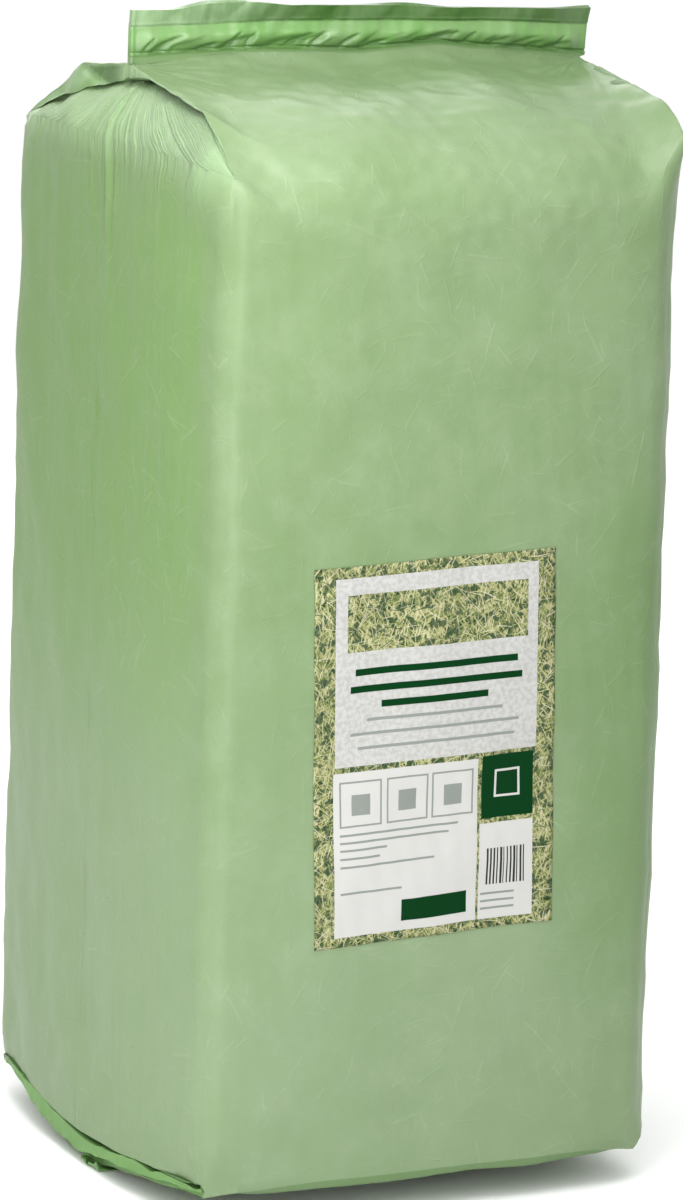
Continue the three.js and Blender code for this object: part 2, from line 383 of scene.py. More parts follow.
def rounded_plan(along, half, other, z, hand, radius):
    """A point of the sharp plan moved onto the swollen, rounded plan at height z."""
    away = away_from_corners(z, hand)
    radius = radius * away
    swell = away * np.where(np.asarray(hand) < 0, SWELL_LEFT, SWELL_RIGHT)
    wide = half + swell
    place = along * wide / half
    past = np.maximum(np.abs(place) - (wide - radius), 0)
    angle = np.where(radius > 1e-6, past / np.maximum(radius, 1e-6), 0) * math.pi / 4
    turned = past > 0
    on_arc = np.sign(along) * (wide - radius + radius * np.sin(angle))
    return (
        np.where(turned, on_arc, place),
        other + swell - radius * (1 - np.cos(angle)),
        swell,
    )


def wall_point(x, share, side):
    """The front (side -1) or back (side 1) panel, from the foot (share 0) to the shoulder (share 1)."""
    low = bottom_point(x, np.zeros((1, 1)), side)[2]
    high = top_point(x, np.zeros((1, 1)), side)[2]
    z = mix(low, high, share)
    px, py, swell = rounded_plan(x + 0 * z, HALF_WIDTH, HALF_DEPTH, z, np.sign(x), corner_radius(x, side))
    return px, side * (py + (FRONT_BULGE - swell) * filled(x)), z


def settled(points):
    """The right half of the bale is a little narrower, and more so at the top."""
    share = np.interp(points[..., 2], *np.array(RIGHT_SHARES).T)
    points[..., 0] = np.where(points[..., 0] > 0, points[..., 0] * share, points[..., 0])
    return points


def eased(count, pull):
    """Steps from 0 to 1, drawn together at both ends by the share pull."""
    t = np.linspace(0, 1, count + 1)
    return mix(t, (1 - np.cos(math.pi * t)) / 2, pull)


def piled(rows):
    """One grid of points from blocks of rows, each a tuple of x, y and z."""
    return np.concatenate([np.stack(np.broadcast_arrays(*row), -1) for row in rows])


def strip_points(x, caps, walls):
    """The closed strip of underside, front panel, top and back panel."""
    down, up = caps[::-1, None], caps[:, None]
    wall = walls[:, None]
    return settled(
        piled(
            [
                bottom_point(x, down[:-1], -1),
                wall_point(x, wall, -1),
                top_point(x, up[1:], -1),
                top_point(x, down[1:-1], 1),
                wall_point(x, wall[::-1], 1),
                bottom_point(x, up[1:], 1),
            ]
        )
    )


def lip_of(along):
    """Tuck, drop, reach and gap of a side's top edge."""
    end = 1 - np.abs(along) ** 30
    lines = (TOP_TUCK, TOP_DROP, TOP_OUT, TOP_GAP)
    return [curve(along * HALF_DEPTH, line) * end for line in lines]


def hem_rows(flap, hem, hand, along, steps, seed):
    """The folds between the flap's edge and the hem of the side panel, from the flap up.

    Each section runs in under the flap's fold, out again, and into the dark gap below the hem."""
    open_share = 1 - np.abs(along) ** 6
    stretch = 1 - np.abs(along) ** 50
    places = np.stack([along * HALF_DEPTH, 0 * along, 0 * along], -1)
    sway = waves(places, 45, 160, seed)
    sway2 = waves(places, 25, 90, seed + 1)
    y = along * HALF_DEPTH
    thin, wide = (
        sum(np.exp(-(((y - centre) / reach) ** 2)) for centre, reach in gaps)
        for gaps in (THIN_GAPS, WIDE_GAPS)
    )
    edge = 0.95 - 0.10 * thin - 0.26 * wide
    # Distance out from the bag's end plane and share of the height, for each fold of the section
    own = np.abs(flap[:, 0]) - HALF_WIDTH
    dent = (own - 0.6 + 0.4 * sway, 0.22 + 0.04 * sway2)
    over = np.maximum(own, np.abs(hem[:, 0]) - HALF_WIDTH)
    crest = (over + 1.6 + 0.6 * sway2, 0.42 + 0.05 * sway2)
    lip = (over + 1.2 - 0.6 * clamp01(thin + wide), edge)
    gap = (-60 + 3 * sway, edge + 0.02)
    under_hem = (mix(2, 12, open_share), 0.985 + 0 * sway)
    sections = [flap]
    for out, up in (dent, crest, lip, gap, under_hem):
        reach = out * stretch
        x = mix(flap[:, 0], hand * (HALF_WIDTH + reach), stretch)
        z = mix(flap[:, 2], hem[:, 2], up)
        y = mix(flap[:, 1], hem[:, 1], up)
        sections.append(np.stack([x, y, z], -1))
    sections.append(hem)
    sections = np.array(sections)
    marks = np.linspace(0, len(sections) - 1, steps + 1)[:-1]
    low = np.floor(marks).astype(int)
    part = (marks - low)[:, None, None]
    # Painted shade for each row: dark under the flap's fold and in the gap below the hem
    inner = np.interp(marks, (0.55, 1, 1.4, 3, 3.2, 5, 5.9), (0.1, 0.55, 0.1, 0.1, 1, 1, 0))
    return list(mix(sections[low], sections[np.minimum(low + 1, len(sections) - 1)], part)), list(inner)


def side_points(hand, caps, walls, tucks, lips, hem_steps):
    """One side panel as columns: bottom lip, wall, rounded top, valley and top lip.

    Also returns, from 0 to 1, how far up the rounded top each column is and whether it is in the
    hem, and for each point its pleat's place and the painted shade it gets for lying deep in a fold."""
    along = np.concatenate([-(1 - caps), (1 - caps)[::-1][1:]])
    t = 1 - np.abs(along)
    side = np.where(along <= 0, -1, 1)
    open_share = 1 - along * along
    edge_x = np.array([[hand * HALF_WIDTH]])

    def edge(of, t_value, side_value):
        return np.array([float(v[0, 0]) for v in of(edge_x, np.array([[t_value]]), side_value)])

    tops = np.array([edge(top_point, a, b) for a, b in zip(t, side)])
    bottoms = np.array([edge(bottom_point, a, b) for a, b in zip(t, side)])
    tuck, drop, reach, gap = lip_of(along)
    y = along * HALF_DEPTH
    top_valley = np.stack([hand * (HALF_WIDTH - tuck), y, tops[:, 2] - drop - gap], -1)
    free_edge = np.stack([hand * (HALF_WIDTH + reach), y, tops[:, 2] - drop], -1)
    wall_top = top_corner(hand) - SIDE_DOME * (1 - along**4)
    wall_bottom = curve(y, LEFT_HEM if hand < 0 else RIGHT_HEM)

    wall = []
    for share in walls:
        z = mix(wall_bottom, wall_top, share)
        py, px, swell = rounded_plan(y, HALF_DEPTH, HALF_WIDTH, z, hand, corner_radius(hand, y))
        wall.append(np.stack([hand * (px + (SIDE_BULGE - swell) * open_share), py, z], -1))
    low_lip, low_shade = hem_rows(bottoms, wall[0], hand, along, hem_steps, HEM_SEED + hand)
    last = wall[-1]
    dome = []
    for share in tucks[1:]:
        inwards, upwards = shoulder(share, SIDE_DOME_POWER)
        dome.append(
            np.stack(
                [
                    mix(last[:, 0], top_valley[:, 0], inwards),
                    mix(last[:, 1], y, upwards),
                    mix(last[:, 2], top_valley[:, 2], upwards),
                ],
                -1,
            )
        )
    top_lip = []
    for share in lips[1:]:
        if share < 1 / 3:
            top_lip.append(mix(top_valley, free_edge, share * 3))
        else:
            top_lip.append(mix(free_edge, tops, share * 1.5 - 0.5))
    rise = [0.0] * (len(low_lip) + len(wall)) + list(tucks[1:]) + [1.0] * len(top_lip)
    in_hem = [1.0] * len(low_lip) + [0.0] * (len(wall) + len(dome) + len(top_lip))
    # Painted shade: under the side's top edge, in the fold of its lip, and in the hem's gap and under its
    # flap; under the top edge it fades where the tuck is shallow
    shade_below_edge = smooth((np.array(tucks[1:]) - 0.86) / 0.14)
    shade_of_lip_fold = clamp01(1 - 3 * np.array(lips[1:]))
    inner = np.array([*low_shade, *[0.0] * len(wall), *shade_below_edge, *shade_of_lip_fold])[None, :] + 0 * y[:, None]
    held = np.where(np.arange(inner.shape[1]) < len(low_lip), 1.0, 0.9 * clamp01(tuck / 9)[:, None])
    inner = inner * held
    points = np.stack([*low_lip, *wall, *dome, *top_lip], 1)
    drawn = 0.86 * np.array(rise)[None, :]
    gather = (points[..., 1] - drawn * SIDE_APEX) / (1 - drawn)
    return settled(points), rise, in_hem, gather, inner


def lengths_along(points, axis):
    """Distance travelled along one direction of a grid, averaged over the other."""
    step = np.linalg.norm(np.diff(points, axis=axis), axis=-1)
    mean = step.mean(axis=1 - axis)
    return np.concatenate([[0], np.cumsum(mean)])


class Film:
    """Grids of points that are joined where they meet, with a flat film coordinate for each corner."""

    def __init__(self):
        self.points, self.quads, self.flat, self.marks = [], [], [], []
        self.count = 0

    def add(self, points, flat, flip, **marks):
        rows, columns = points.shape[:2]
        index = np.arange(rows * columns).reshape(rows, columns) + self.count
        corners = [index[:-1, :-1], index[:-1, 1:], index[1:, 1:], index[1:, :-1]]
        quads = np.stack([c.ravel() for c in (corners[::-1] if flip else corners)], -1)
        self.points.append(points.reshape(-1, 3))
        self.flat.append(flat.reshape(-1, 2))
        self.quads.append(quads)
        self.marks.append({k: np.broadcast_to(v, (rows, columns)).ravel() for k, v in marks.items()})
        self.count += rows * columns

    def joined(self, tolerance=0.02):
        """Vertices, faces, the flat coordinate of each face corner, and the marks of each vertex."""
        points, quads = np.concatenate(self.points), np.concatenate(self.quads)
        flat = np.concatenate(self.flat)
        keys = np.round(points / tolerance).astype(np.int64)
        _, first, same = np.unique(keys, axis=0, return_index=True, return_inverse=True)
        same = same.ravel()
        faces, corners = [], []
        merged = same[quads]
        for face, source in zip(merged.tolist(), quads.tolist()):
            kept = [i for i in range(4) if face[i] != face[i - 1]]
            if len(kept) > 2 and len({face[i] for i in kept}) == len(kept):
                faces.append([face[i] for i in kept])
                corners.extend(source[i] for i in kept)
        names = self.marks[0].keys()
        marks = {k: np.concatenate([m[k] for m in self.marks])[first] for k in names}
        return points[first], faces, flat[corners], marks


def normals_of(points, faces):
    """Vertex normals, each the mean of its faces'."""
    out = np.zeros_like(points)
    for size in (3, 4):
        some = np.array([f for f in faces if len(f) == size])
        if len(some):
            a, b, c = points[some[:, 0]], points[some[:, 1]], points[some[:, 2]]
            d = points[some[:, 3]] if size == 4 else a
            across = np.cross(c - a, (d if size == 4 else c) - b)
            for k in range(size):
                np.add.at(out, some[:, k], across)
    return out / np.maximum(np.linalg.norm(out, axis=1), 1e-9)[:, None]


def made_object(name, points, faces, flat=None, shares=None):
    """A smooth mesh object from points in millimetres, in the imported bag's place.

    Flat holds a coordinate for each face corner, and shares a named value for each point."""
    mesh = bpy.data.meshes.new(name)
    mesh.from_pydata(((points + SHIFT) * MM).tolist(), [], faces)
    for label, values in (shares or {}).items():
        layer = mesh.attributes.new(label, "FLOAT", "POINT")
        layer.data.foreach_set("value", values.astype(np.float32))
    if flat is not None:
        layer = mesh.uv_layers.new(name="film_metres")
        layer.uv.foreach_set("vector", (np.asarray(flat) * MM).astype(np.float32).ravel())
    mesh.shade_smooth()
    mesh.validate()
    thing = bpy.data.objects.new(name, mesh)
    bpy.context.scene.collection.objects.link(thing)
    return thing


def near_line(a, b, start, end):
    """Distance from a line between two points of a plane, and the share of the way along it."""
    run = (end[0] - start[0], end[1] - start[1])
    length2 = run[0] ** 2 + run[1] ** 2
    share = ((a - start[0]) * run[0] + (b - start[1]) * run[1]) / length2
    held = clamp01(share)
    return np.hypot(a - start[0] - held * run[0], b - start[1] - held * run[1]), held


def fold(distance, width):
    """A crest with a shallow trough on both sides."""
    near = (distance / width) ** 2
    return np.exp(-near) - 0.45 * np.exp(-near / 5)


def fan(points, origin, headings, lengths, width, height):
    """Creases that spread over the top from one point, seen from above."""
    out = np.zeros(len(points))
    on_top = smooth((points[:, 2] - 815) / 30)
    for heading, length in zip(headings, lengths):
        end = (
            origin[0] + length * math.cos(math.radians(heading)),
            origin[1] + length * math.sin(math.radians(heading)),
        )
        distance, share = near_line(points[:, 0], points[:, 1], origin, end)
        spread = width * (0.5 + 0.9 * share)
        out += height * fold(distance, spread) * np.sin(math.pi * share**0.6) * on_top
    return out


def side_pleats(points, marks, hand, seed):
    """Upright pleats of a side panel, gathered towards the end of the seal over its rounded top."""
    rng = np.random.default_rng(seed)
    z = points[:, 2]
    rise, across = marks["rise"], marks["gather"]
    below = below_top(z, hand)
    wander = across + 0.08 * below + 1.6 * waves(points, 40, 120, seed + 3) * smooth(below / 30)
    out = np.zeros(len(points))
    places = np.cumsum(rng.uniform(4, 13, 50)) - 186
    weak = [
        (place, rng.uniform(1.8, 4.4), 0.4 + 1.5 * rng.uniform() ** 1.6, rng.uniform(12, 42))
        for place in places
        if place < 184
    ]
    for place, width, height, reach in (*SIDE_PLEATS, *weak):
        spread = width * (1 + 0.004 * below)
        crest = fold(wander - place, spread)
        out += height * crest * np.exp(-((below / reach) ** 1.8)) * (1 - 0.8 * rise) ** 0.8
    return out


def bag_relief(points, marks, relief, lumps, seed):
    """Displacement of the film along its normals, in millimetres."""
    x, y, z = points.T
    out = lumps * 0.8 * waves(points, 60, 190, seed)
    out += lumps * 0.35 * waves(points, 16, 48, seed + 1) * smooth((z - 12) / 40)

    for hand in (-1, 1):
        here = marks["open"] * (marks["hand"] == hand)
        out += relief * here * side_pleats(points, marks, hand, seed + 5 + hand)

    from_lobe = np.sum(((points - LOBE_CENTRE) / LOBE_RADII) ** 2, 1)
    puffed = np.exp(-from_lobe) * (marks["hand"] < 0) * smooth(2.2 * (1 - marks["rise"]))
    out += LOBE_HEIGHT * puffed * marks["open"] ** 0.4
    inner = near_line(y, z, (84, 864), (50, 856))[0]
    hollow = smooth((y - 2) / 10) * smooth((58 - y) / 12)
    out -= relief * (2.2 * np.exp(-((inner / 2.2) ** 2)) + 1.2 * hollow) * marks["lip"] * (x < 0)

    near_left = fan(points, (-186, -6), (-13, -27, -46, -66), (96, 118, 92, 120), 2.6, 1.2)
    near_right = fan(points, (194, -6), (192, 204, 217, 233, 254), (96, 74, 104, 88, 112), 2.4, 1.4)
    back_left = fan(points, (-186, 6), (18, 38, 60), (90, 110, 95), 2.8, 1.6)
    back_right = fan(points, (194, 6), (163, 141, 120), (90, 110, 95), 2.8, 1.6)
    out += relief * (near_left + near_right + back_left + back_right)

    depth = np.abs(y)
    under_seal = smooth((z - 850) / 12) * smooth((depth - 4) / 5) * np.exp(-depth / 15)
    creases = np.sin(depth * 1.05 + 2.2 * waves(points, 50, 150, seed + 9))
    out += relief * 0.6 * under_seal * creases * (0.6 + 0.4 * waves(points, 40, 120, seed + 10))
    out *= smooth((depth - 3) / 5 + (z < 850) * 1.0)
    across_top = smooth((z - 800) / 40) * marks["panel"]
    out += relief * 0.08 * across_top * waves(points * (0.8, 0.6, 0.6), 10, 34, seed + 12)

    out += relief * 0.15 * marks["lip"] * (ridges(points, 14, 40, seed + 20) - 0.4)
    out += relief * 0.9 * marks["hem"] * (ridges(points * (1, 0.16, 1.3), 6, 20, seed + 21) - 0.4)
    return out


def side_marks(points, hand, rise, in_hem, gather, inner, lip_count):
    """What the relief and the film's finish need to know of each point of a side."""
    y, z = points[..., 1], points[..., 2]
    along = points[:, :1, 1] / HALF_DEPTH
    rise, in_hem = np.array(rise)[None, :], np.array(in_hem)[None, :]
    left = hand < 0
    place = np.arange(points.shape[1])
    in_lip = (place > points.shape[1] - lip_count) * smooth(along * HALF_DEPTH / 30)
    below = below_top(z, hand)
    main_pleat = np.exp(-(((gather - SIDE_PLEATS[0][0]) / 7) ** 2) - (below / 80) ** 2)
    from_corner = (1 - np.abs(along)) * HALF_DEPTH
    pleated = np.maximum(np.exp(-((below / 26) ** 1.2)) * smooth((from_corner - 22) / 30), main_pleat)
    # Painted shade in the inner fold of the top back flap's band, full on the left side, half on the right
    hung = 875 - 0.125 * y - z
    folded = in_lip * smooth(y / 10) * smooth((80 - 2.9 * hung - y) / 6) * (1.0 if left else 0.5)
    # Painted sheen over the side's rounded top and over the puffed lobe by the near end of its top edge
    dome_sheen_share = smooth(1.6 * rise + 0.75 * np.exp(-((below / 15) ** 2)))
    lobe = np.exp(-(((y + 163) / 30) ** 2) - ((z - 822) / 25) ** 2)
    return {
        "hand": float(hand),
        "open": 1 - np.clip(np.abs(along), 0, 1) ** 6,
        "rise": rise,
        "gather": gather,
        "panel": 0.0,
        "lip": in_lip,
        "hem": in_hem,
        "pleated": pleated * (1 - in_lip),
        "inner": np.maximum(inner, 0.80 * folded),
        "clear": 0.65 * in_lip + 0.9 * in_hem,
        # Painted shade: the side panels take a deeper green, the left one fully and the right one in part
        "side": smooth(from_corner / 55) * (1 - 0.35 * pleated) * (1.0 if left else 0.4),
        "drawn": np.maximum(dome_sheen_share, 0.85 * lobe) * (1 - in_lip),
    }


def bag_mesh(size):
    """Points, faces, flat film coordinates and marks of the whole bag, in millimetres."""
    caps = eased(size.cap_steps, 0.35)
    walls = eased(size.wall_steps, 0.45)
    half = eased(size.across_steps // 2, 0.0)
    x = np.concatenate([-np.sin(half[::-1] * math.pi / 2), np.sin(half[1:] * math.pi / 2)])
    straight = np.linspace(-1, 1, len(x))
    x = (HALF_WIDTH * mix(straight, x, 0.5))[None, :]
    tucks = np.linspace(0, 1, size.tuck_steps + 1)
    lips = np.linspace(0, 1, size.lip_steps + 1)

    film = Film()
    strip = strip_points(x, caps, walls)
    v = lengths_along(strip, 0)
    flat = np.stack(np.broadcast_arrays(x, v[:, None]), -1)
    cap, wall = size.cap_steps, size.wall_steps
    under = np.zeros(len(strip))
    under[: cap - 1] = 1.0
    under[3 * cap + 2 * wall :] = 1.0
    nothing = {name: 0.0 for name in SIDE_MARKS}
    # The underside takes some of the folded green, and painted shade as it faces the floor
    shade = {"clear": 0.25 * under[:, None], "inner": 0.38 * under[:, None]}
    film.add(strip, flat, False, **{**nothing, "panel": 1.0, **shade})
    for hand in (-1, 1):
        points, rise, in_hem, gather, inner = side_points(hand, caps, walls, tucks, lips, size.hem_steps)
        up = lengths_along(points, 1)
        flat = np.stack(np.broadcast_arrays(gather + 1000 * (2 + hand), up[None, :]), -1)
        marks = side_marks(points, hand, rise, in_hem, gather, inner, len(lips))
        film.add(points, flat, hand > 0, **marks)
    return film.joined()


def channelled(points):
    """Keeps the film on or above the ground, and over the bottom seal where that lies."""
    x, y, z = points.T
    over_seal = smooth((y - LOW_SEAL_FRONT + 6) / 4) * smooth((LOW_SEAL_BACK + 6 - y) / 4)
    points[:, 2] = np.maximum(z, 0.1 + 3.9 * over_seal * smooth((x + 204) / 8))
    return points


class Value:
    """A number that varies over a surface. Arithmetic on it adds Math nodes."""

    def __init__(self, tree, socket):
        self.tree, self.socket = tree, socket

    def math(self, operation, *others):
        """This value and others through one Math node."""
        values = dict(enumerate((self, *others)))
        return Value(self.tree, self.tree.add("ShaderNodeMath", {"operation": operation}, values).outputs[0])

    def flipped(self, operation, other):
        """A Math node with this value as the second."""
        values = {0: other, 1: self}
        return Value(self.tree, self.tree.add("ShaderNodeMath", {"operation": operation}, values).outputs[0])

    def __add__(self, other):
        return self.math("ADD", other)

    def __sub__(self, other):
        return self.math("SUBTRACT", other)

    def __mul__(self, other):
        return self.math("MULTIPLY", other)

    def __truediv__(self, other):
        return self.math("DIVIDE", other)

    def __pow__(self, other):
        return self.math("POWER", other)

    def __gt__(self, other):
        return self.math("GREATER_THAN", other)

    def __lt__(self, other):
        return self.math("LESS_THAN", other)

    def __abs__(self):
        return self.math("ABSOLUTE")

    def __rsub__(self, other):
        return self.flipped("SUBTRACT", other)

    def __rtruediv__(self, other):
        return self.flipped("DIVIDE", other)

    __radd__ = __add__
    __rmul__ = __mul__

    def clamped(self):
        return self.math("MAXIMUM", 0.0).math("MINIMUM", 1.0)

    def between(self, low, high):
        """0 below low, 1 above high, smooth between them. High may be the smaller."""
        node = self.tree.add(
            "ShaderNodeMapRange",
            {"interpolation_type": "SMOOTHSTEP"},
            {"Value": self, "From Min": low, "From Max": high},
        )
        return Value(self.tree, node.outputs["Result"])


class Shader:
    """One material's node tree."""

    def __init__(self, name):
        self.material = bpy.data.materials.new(name)
        self.material.use_nodes = True
        self.nodes = self.material.node_tree.nodes
        self.links = self.material.node_tree.links
        self.nodes.clear()
        self.surface = self.add("ShaderNodeBsdfPrincipled")
        self.add("ShaderNodeOutputMaterial", {}, {"Surface": self.surface.outputs[0]})

    def add(self, kind, settings=None, inputs=None):
        """A node of a kind. Its settings are set first, then its sockets' values or links."""
        node = self.nodes.new(kind)
        for name, value in (settings or {}).items():
            setattr(node, name, value)
        for name, value in (inputs or {}).items():
            self.feed(node.inputs[name], value)
        return node

    def feed(self, socket, value):
        """Links a socket, or sets its value. A colour is three numbers."""
        if isinstance(value, Value):
            value = value.socket
        if isinstance(value, bpy.types.NodeSocket):
            self.links.new(value, socket)
        elif socket.type == "RGBA":
            socket.default_value = (*value, 1)
        else:
            socket.default_value = value

    def value(self, socket):
        return Value(self, socket)

    def film_place(self):
        """The flat film coordinate, in metres."""
        return self.add("ShaderNodeUVMap", {"uv_map": "film_metres"}).outputs["UV"]

    def place(self):
        return self.add("ShaderNodeTexCoord").outputs["Object"]

    def share(self, name):
        """A value that the mesh holds for each point."""
        return self.value(self.add("ShaderNodeAttribute", {"attribute_name": name}).outputs["Fac"])

    def noise(self, vector, scale, detail=2.0, roughness=0.5, kind="3D"):
        """Smooth noise from 0 to 1."""
        node = self.add(
            "ShaderNodeTexNoise",
            {"noise_dimensions": kind},
            {"Vector": vector, "Scale": scale, "Detail": detail, "Roughness": roughness},
        )
        return self.value(node.outputs[0])

    def blend(self, factor, a, b):
        """Two colours mixed by a factor."""
        node = self.add(
            "ShaderNodeMix",
            {"data_type": "RGBA", "clamp_factor": True},
            {0: factor, 6: a, 7: b},
        )
        return node.outputs[2]

    def moved(self, vector, offset=(0, 0, 0), turn=0.0, scale=(1, 1, 1)):
        """A place shifted back by an offset, then turned back, then scaled."""
        node = self.add(
            "ShaderNodeMapping",
            {"vector_type": "TEXTURE"},
            {"Vector": vector, "Location": offset, "Rotation": (0, 0, turn), "Scale": [1 / s for s in scale]},
        )
        return node.outputs[0]

    def split(self, vector):
        node = self.add("ShaderNodeSeparateXYZ", {}, {0: vector})
        return [self.value(socket) for socket in node.outputs]

    def stalks(self, vector, cell, width, reach, offset, share=1.0):
        """Short straight stalks in random directions, one in each cell of a random pattern.

        Cell, width and reach are in metres. Share is how many of the cells hold one."""
        shifted = self.moved(vector, offset=(offset, offset * 0.7, 0))
        cells = self.add(
            "ShaderNodeTexVoronoi",
            {"voronoi_dimensions": "2D", "feature": "F1"},
            {"Vector": shifted, "Scale": 1 / cell, "Randomness": 1.0},
        )
        away = self.add(
            "ShaderNodeVectorMath", {"operation": "SUBTRACT"}, {0: shifted, 1: cells.outputs["Position"]}
        )
        dx, dy, _ = self.split(away.outputs[0])
        turn, chance, strength = self.split(cells.outputs["Color"])
        angle = turn * (2 * math.pi)
        cosine, sine = angle.math("COSINE"), angle.math("SINE")
        along = dx * cosine + dy * sine
        across = dy * cosine - dx * sine + along * along * ((chance - 0.5) * (0.3 / cell))
        line = abs(across).between(width, width * 0.25) * abs(along).between(reach, reach * 0.6)
        return line * (chance < share) * (strength * 0.6 + 0.4)

    def finish(self, **inputs):
        """Feeds the surface shader's sockets, named with _ for each space."""
        for name, value in inputs.items():
            self.feed(self.surface.inputs[name.replace("_", " ")], value)
        return self.material


def film_material(name, colours):
    """Glossy green film over hay: softly mottled, with pale stalk marks pressed through it, and with painted
    shade, sheen, highlight and floor reflection in its colour.
    """
    shader = Shader(name)
    place, flat = shader.place(), shader.film_place()
    # Of these marks, inner gives painted shade, drawn painted sheen and side the sides' painted shade
    clear, pleated, side, inner, drawn = (shader.share(name) for name in FINISH_MARKS)
    across, depth, level = shader.split(place)
    broad = shader.noise(place, 6.0, 3.0, 0.55)
    patches = shader.noise(place, 30.0, 4.0, 0.62)
    fine = shader.noise(place, 170.0, 3.0, 0.6)
    tone = (broad * 0.55 + patches * 0.45).between(0.30, 0.70)
    base = shader.blend(tone, colours.film_deep, colours.film_pale)
    # Painted shade: the side panels are given a deeper green copy of the film
    base = shader.blend(side * 0.85, base, colours.film_side)
    # Painted sheen over the sides' rounded tops and lobes, brighter towards the back
    sheen_tint = shader.blend(depth.between(-0.13, 0.12), colours.film_drawn, colours.film_drawn_far)
    base = shader.blend(drawn * 0.9, base, sheen_tint)
    # Painted highlight: the pleated film below the sides' top edges is made paler
    base = shader.blend(pleated * (1 - drawn) * 0.35, base, colours.film_pale)
    # Painted shade: darker on the top by the ridge, and on the right part of the front and back panels
    ridge_shade = level.between(0.832, 0.852) * level.between(0.884, 0.872) * across.between(-0.12, 0.04)
    base = shader.blend(ridge_shade * (1 - side) * 0.45, base, colours.film_slack)
    right_panel_shade = across.between(0.06, 0.16) * level.between(0.66, 0.48) * level.between(0.10, 0.28)
    base = shader.blend(right_panel_shade * (1 - side) * 0.75, base, colours.film_slack)
    # Painted reflection of the pale floor greys the low parts of the walls, added to random greyer patches of
    # the film
    front_reflection = level.between(0.50, 0.16) * (0.50 - side * 0.50) * (1 - across.between(0.0, 0.16) * 0.6)
    low_side = level.between(0.54, 0.26) * side * 0.85
    low_reflection = (front_reflection + low_side) * (broad * 0.7 + 0.55)
    grey_patches_and_reflection = (patches * 0.6 + fine * 0.4).between(0.46, 0.72) * 0.2 + low_reflection
    base = shader.blend(grey_patches_and_reflection.clamped(), base, colours.film_dusty)
    upright = shader.noise(shader.moved(flat, scale=(130, 5, 1)), 1.0, 3.0, 0.6, "2D")
    streaks = upright.between(0.42, 0.75) * (side * 0.22 + 0.10)
    base = shader.blend(streaks, base, colours.film_pale)

    marks = shader.stalks(flat, 0.022, 0.0011, 0.0080, 0.0, 0.40)
    for cell, width, reach, offset, share in (
        (0.029, 0.0014, 0.0120, 0.313, 0.40),
        (0.038, 0.0018, 0.0160, 0.731, 0.36),
        (0.016, 0.0008, 0.0060, 1.137, 0.40),
        (0.050, 0.0016, 0.0230, 1.519, 0.30),
        (0.033, 0.0012, 0.0150, 1.911, 0.34),
    ):
        marks = marks + shader.stalks(flat, cell, width, reach, offset, share)
    clustered = (broad * 0.5 + patches * 0.5).between(0.40, 0.66)
    over_hay = 1 - clear
    shown = (marks * (clustered * 0.10 + 0.03) * over_hay).clamped()
    colour = shader.blend(shown, base, colours.stalk_mark)
    colour = shader.blend(clear, colour, colours.film_clear)
    # Painted shade deep in folds and gaps, and under the sides' top edges and the underside
    colour = shader.blend(inner, colour, colours.film_shadow)

    fibres = shader.noise(shader.moved(flat, turn=0.6, scale=(40, 420, 1)), 1.0, 3.0, 0.6, "2D")
    cross_fibres = shader.noise(shader.moved(flat, turn=-0.9, scale=(48, 380, 1)), 1.0, 3.0, 0.6, "2D")
    weave = fibres * 0.5 + cross_fibres * 0.5
    gathers = shader.noise(shader.moved(flat, scale=(170, 5, 1)), 1.0, 2.0, 0.55, "2D")
    wide_gathers = shader.noise(shader.moved(flat, scale=(80, 4, 1)), 1.0, 2.0, 0.5, "2D")
    crests = (1 - abs(gathers * 2 - 1)) ** 6 * 0.0008 + (1 - abs(wide_gathers * 2 - 1)) ** 6 * 0.0016
    height = marks.math("MINIMUM", 1.4) * 0.00030 + weave * 0.00040 + fine * 0.00030 + patches * 0.0004
    height = height + pleated * (crests + wide_gathers * 0.0014)
    bump = shader.add("ShaderNodeBump", {}, {"Strength": 0.55, "Distance": 1.0, "Height": height})
    return shader.finish(
        Base_Color=colour,
        Roughness=0.30 + weave * 0.10 + patches * 0.10,
        Normal=bump.outputs[0],
        IOR=1.2,
        Coat_Weight=0.12 - side * 0.12 + level.between(0.76, 0.83) * (1 - pleated * 0.8) * (1 - inner) * 0.30,
        Coat_Roughness=0.33,
    )


def seal_material(name, colours):
    """Film doubled and welded: pale where it is puffed, with painted shade on the puffed band's lower part,
    and a deeper green along its plain edge.
    """
    shader = Shader(name)
    place = shader.place()
    along, level, _ = shader.split(shader.film_place())
    broad = shader.noise(place, 26.0, 3.0, 0.6)
    streaks = shader.noise(shader.moved(place, scale=(150, 60, 30)), 1.0, 3.0, 0.6)
    tone = (broad * 0.6 + streaks * 0.4).between(0.36, 0.64)
    puffed = shader.blend(tone * 0.45, colours.seal_puff, colours.film_pale)
    plain = shader.blend(tone * 0.25, colours.seal_deep, colours.film_pale)
    # The plain strip turns paler towards its left end
    plain = shader.blend(along.between(-0.03, -0.15) * (tone * 0.5 + 0.45), plain, colours.film_drawn)
    # Painted shade: the lower part of the puffed band, which faces down, is darkened
    puffed = shader.blend(level.between(0.011, 0.002) * 0.55, puffed, colours.seal_deep)
    base = shader.blend(level.between(0.0185, 0.0215), puffed, plain)
    # The skirt below the band takes the painted-shade green
    base = shader.blend(level.between(0.001, -0.003), base, colours.film_slack)
    height = streaks * 0.0001 + broad * 0.0010
    bump = shader.add("ShaderNodeBump", {}, {"Strength": 0.5, "Distance": 1.0, "Height": height})
    return shader.finish(
        Base_Color=base,
        Roughness=0.26 + streaks * 0.12,
        Normal=bump.outputs[0],
        IOR=1.38,
        Coat_Weight=0.22,
        Coat_Roughness=0.22,
    )


